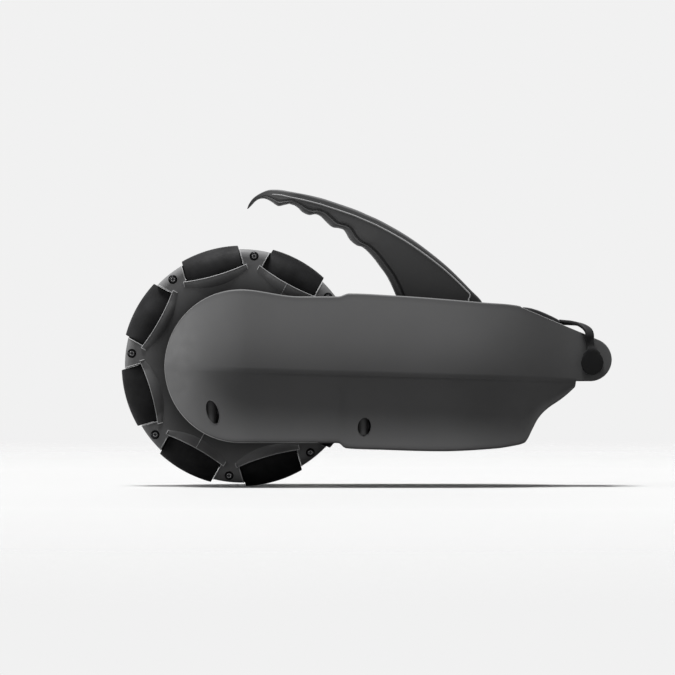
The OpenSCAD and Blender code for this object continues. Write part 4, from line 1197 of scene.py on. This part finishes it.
CAP_R = 8.7
CAP_TALL = 1.11
CAP_DOWN = 0.9
CAP_ROUND = 0.7
CAP_LOW = NOSE_HW + GAP
CAP_T = 5
CAP_CHAMFER = 0.4
CAP_CROWN = [(CAP_R / 2, 0.1), (0.6, 0.15)]
STEM_R = 4.8
STEM_LEN = 4
STEM_CHAMFER = 1.2
SMALL_TURNS = arc(6)
STRAP_HW = 3.1
STRAP_HT = 1.5
HINGE = (273.5, 20.5, 30.9)
STRAP_POINTS = [(252.6, 34.4, 4.5), (257.4, 34, 11.4), (261.8, 33.6, 16.8), (267, 32.2, 22.8),
                (271, 29.6, 27.7), (273, 26.8, 30.2), (273.6, 23.6, 31.3), HINGE, (274.1, 16, 31.5),
                (274.7, 12.6, 32.75), (275.1, 9, 32.9)]
STRAP_WIDE = [(0, 1.1), (6, 1.1), (7.5, 1), (8, 0.93), (8.4, 0.95), (8.9, 1.24), (9.36, 1.77), (9.8, 2.16),
              (10, 2.26)]
STRAP_SIDES = [(0, -0.36), (6, -0.36), (7.5, 0), (10, 0)]
STRAP_LEVEL = 6
STRAP_STEPS = 8
STRAP_SEGMENTS = 32
STRAP_ACROSS = 0.93
STRAP_SQUARE = 0.5


def strap_skin():
    """A flat rubber strap with rounded edges, from the panel over the cheek to the cap."""
    path = curve_through(STRAP_POINTS, STRAP_STEPS)
    wide, aside = smooth_line(STRAP_WIDE), smooth_line(STRAP_SIDES)
    rows = []
    for k, spot in enumerate(path):
        along = k / STRAP_STEPS
        way = (path[min(k + 1, len(path) - 1)] - path[max(k - 1, 0)]).normalized()
        tilt = tan(SLOPE) * max(0, 1 - along / STRAP_LEVEL)
        side = Vector((STRAP_ACROSS, -STRAP_ACROSS * tilt, aside(along)))
        side = (side - side.dot(way) * way).normalized()
        up = side.cross(way)
        hw = STRAP_HW * wide(along)
        row = []
        for a in circle(STRAP_SEGMENTS):
            flat = [abs(f(a)) ** STRAP_SQUARE * (1 if f(a) >= 0 else -1) for f in (cos, sin)]
            row.append(spot + side * hw * flat[0] + up * STRAP_HT * flat[1])
        rows.append(row)
    return grid(rows)


def cap_skin():
    """A round stem in the socket under a slightly oval cover."""
    top, r = CAP_LOW + CAP_T, CAP_ROUND

    def place(u, v, h):
        return SOCKET_AT[0] + u, SOCKET_AT[1] + (v if h < CAP_LOW else CAP_TALL * v - CAP_DOWN), h

    stem = CAP_LOW - STEM_LEN
    profile = [(STEM_R - STEM_CHAMFER, stem), (STEM_R, stem), (STEM_R, CAP_LOW)]
    profile += [(CAP_R - CAP_CHAMFER, CAP_LOW), (CAP_R, CAP_LOW + CAP_CHAMFER)]
    profile += corner(CAP_R, top, r, r, SMALL_TURNS)
    profile += [(radius, top + rise) for radius, rise in CAP_CROWN]
    return lathe(profile, place, FINE_SEGMENTS)


strap = mesh_object("strap", strap_skin())
dress(strap, "soft_black", None, ["cap_strap"])
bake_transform(strap)
dress(mesh_object("cap", cap_skin()), "soft_black", "cap", ["charge_cap"])

# Control panel

PANEL_T = 4
PANEL_RISE = 3.2
PANEL_RISES = [(0, 0.25), (0.1, 0.55), (0.25, 0.85), (0.45, 1), (0.75, 0.97), (0.95, 0.8), (1, 0.68)]
PANEL_ROOM = 0.6
PANEL_MID = (PANEL_FROM + PANEL_TO) / 2
PANEL_STEPS = 32
PANEL_EDGE = 1.6
PANEL_EDGE_LEAST = 0.5
PANEL_FLATS = (0, 3, 6, 9)
BUTTON_R = 6
BUTTON_PROUD = 0.2
BUTTON_UP = 1.5
BUTTON_LOW = BUTTON_UP - PANEL_T
BUTTON_ROUND = 0.8
BUTTON_RING = [(4.4, 0), (4.1, -0.35), (3.6, -0.35), (3.3, 0), (1.6, -0.1), (0.4, -0.12)]
SKIRT_PAST = 1.4
SKIRT_R = BUTTON_R + SKIRT_PAST
SKIRT_TOP = -1.1
SKIRT_ROOM_TOP = -0.8
LIGHT_R = 2
LIGHT_AHEAD = 12
LIGHT_LOW = -0.8
LIGHT_TOP = 2.4
LIGHT_DOME = [(1, -0.6), (0.8, -0.2), (0.4, 0)]
CORE_R = 0.5
LENS_CORE_R = 0.3
LENS_SEGMENTS = 40


def on_slope(ahead=0):
    """Places (along, right, up) on the nose's slope, from a spot ahead of the panel's middle."""

    def place(along, right, up):
        u = ahead + along
        return (PANEL_MID + u * cos(SLOPE) + up * sin(SLOPE),
                slope_z(PANEL_MID) - u * sin(SLOPE) + up * cos(SLOPE), right)

    return place


def panel_skin():
    """A convex cover with rounded edges."""
    panel_rise = smooth_line(PANEL_RISES)
    start, end = PANEL_FROM + PANEL_ROOM, PANEL_TO - PANEL_ROOM
    rows = []
    for s in evenly(0, 1, PANEL_STEPS):
        x = start + (end - start) * s
        rise = GAP + PANEL_RISE * panel_rise(s)
        r = min(PANEL_EDGE, PANEL_EDGE_LEAST + rise / 2)
        top = slope_z(x) + rise
        right = [(x, top, w) for w in PANEL_FLATS]
        right += [(x, y, w) for y, w in corner(top, PANEL_HW, r, r, SMALL_TURNS)]
        right += [(x, slope_z(x) - PANEL_T / cos(SLOPE), PANEL_HW)]
        rows.append([(u, v, -w) for u, v, w in reversed(right[1:])] + right)
    return grid(rows)


panel = mesh_object("panel_cover", panel_skin())
cut(panel, pipe(on_slope(), BUTTON_R + GAP, -OVERRUN, OVERRUN),
    pipe(on_slope(), SKIRT_R + GAP, -OVERRUN, SKIRT_ROOM_TOP),
    pipe(on_slope(LIGHT_AHEAD), LIGHT_R + SEAM, LIGHT_LOW, OVERRUN))
dress(panel, "panel_black", stands_for=["control_panel"], even=True)


def button_skin():
    """A round button with a skirt below and a groove on its face."""
    top, r = PANEL_RISE + BUTTON_PROUD, BUTTON_ROUND
    profile = [(CORE_R, BUTTON_LOW), (SKIRT_R, BUTTON_LOW), (SKIRT_R, SKIRT_TOP), (BUTTON_R, SKIRT_TOP)]
    profile += corner(BUTTON_R, top, r, r, SMALL_TURNS)
    profile += [(radius, top + rise) for radius, rise in BUTTON_RING]
    return lathe(profile, on_slope())


def lens_skin():
    """A small domed lens."""
    profile = [(LENS_CORE_R, LIGHT_LOW), (LIGHT_R, LIGHT_LOW)]
    profile += [(LIGHT_R * share, LIGHT_TOP + rise) for share, rise in LIGHT_DOME]
    return lathe(profile, on_slope(LIGHT_AHEAD), LENS_SEGMENTS)


dress(mesh_object("button_top", button_skin()), "button_grey", "button", ["power_button"])
dress(mesh_object("light_cover", lens_skin()), "light_lens", stands_for=["status_light"])

# Solids that stay as they are get their finish

for part in frame["record"]["subparts"]:
    solid = frame["nodes"][part["node"]].data
    solid.materials.clear()
    solid.materials.append(FINISHES[part["material_slot"]])

# Stage, light and camera

PALE = 0.88
AMBIENT = 0.045
FLOOR_PALE = 0.39
FLOOR_BOUNCE = 0.08
FLOOR_R = 2.2
FLOOR_FADE = 0.7
FLOOR_ROUGH = 0.9
FLOOR_SHINE = 0.1
FLOOR_GRAIN = 0.2
FLOOR_SEGMENTS = 96
PIXEL = 0.79 * MM
FRAME_PIXELS = 675
CAMERA_AWAY = 5.0
CAMERA_X, CAMERA_Z = -28.5 * PIXEL, 148.5 * PIXEL
LAMPS = [("key", (-0.12, -0.05, 0.95), 22, 6.9), ("side", (-0.96, -0.12, 0.12), 30, 2.2),
         ("front", (-0.05, -1, -0.08), 40, 0.16), ("right", (0.75, -0.6, 0.2), 40, 0.3),
         ("back", (0.1, 1, 0.1), 40, 0.6)]


def pale_rays(tree):
    """1 for rays that see the pale background: from the camera, mirrored or let through."""
    light = tree.nodes.new("ShaderNodeLightPath")
    total = light.outputs["Is Camera Ray"]
    for kind in ("Is Glossy Ray", "Is Transmission Ray"):
        more = tree.nodes.new("ShaderNodeMath")
        more.operation = "MAXIMUM"
        tree.links.new(total, more.inputs[0])
        tree.links.new(light.outputs[kind], more.inputs[1])
        total = more.outputs[0]
    return total


def floor_finish():
    """Pale paint whose edge fades away into the background."""
    finish, tree, shader = new_material("floor_paint", (FLOOR_PALE,) * 3, FLOOR_ROUGH)
    shader.inputs["Specular IOR Level"].default_value = FLOOR_SHINE
    link_colours(tree, pale_rays(tree), (FLOOR_BOUNCE,) * 3, (FLOOR_PALE,) * 3, shader.inputs["Base Color"])
    away = tree.nodes.new("ShaderNodeVectorMath")
    away.operation = "LENGTH"
    tree.links.new(piece_place(tree), away.inputs[0])
    fade = link_range(tree, away.outputs["Value"], 1, 0, FLOOR_FADE, FLOOR_R)
    tree.links.new(fade, shader.inputs["Alpha"])
    link_bump(tree, link_noise(tree, STAIN_SCALE), shader, FLOOR_GRAIN, FLOOR_GRAIN)
    return finish


def make_stage():
    """A round floor."""
    mesh = bpy.data.meshes.new("floor")
    rim = [(FLOOR_R * cos(a), FLOOR_R * sin(a), 0) for a in circle(FLOOR_SEGMENTS)]
    mesh.from_pydata(rim, [], [range(len(rim))])
    floor = add_object("floor", mesh)
    mesh.materials.append(floor_finish())


def make_sun(name, towards, width, strength):
    """A soft distant lamp; towards points from the object to it."""
    lamp = bpy.data.lights.new(name, "SUN")
    lamp.energy = strength
    lamp.angle = radians(width)
    obj = add_object(name, lamp)
    obj.rotation_euler = Vector(towards).to_track_quat("Z", "Y").to_euler()


def make_camera():
    """A level side view through a long lens, at the photograph's scale."""
    view = bpy.data.cameras.new("camera")
    view.sensor_fit = "HORIZONTAL"
    view.angle = 2 * atan(FRAME_PIXELS * PIXEL / 2 / CAMERA_AWAY)
    camera = add_object("camera", view)
    camera.location = (CAMERA_X, -CAMERA_AWAY, CAMERA_Z)
    camera.rotation_euler = (pi / 2, 0, 0)
    bpy.context.scene.camera = camera


def make_world():
    """A dim even light that looks pale to the camera and in reflections."""
    world = bpy.data.worlds.new("world")
    world.use_nodes = True
    tree = world.node_tree
    back = tree.nodes["Background"]
    back.inputs["Color"].default_value = (1, 1, 1, 1)
    level = link_range(tree, pale_rays(tree), AMBIENT, PALE, 0, 1)
    tree.links.new(level, back.inputs["Strength"])
    bpy.context.scene.world = world


make_stage()
make_world()
for lamp_row in LAMPS:
    make_sun(*lamp_row)
make_camera()
bpy.context.scene.view_settings.view_transform = "Standard"
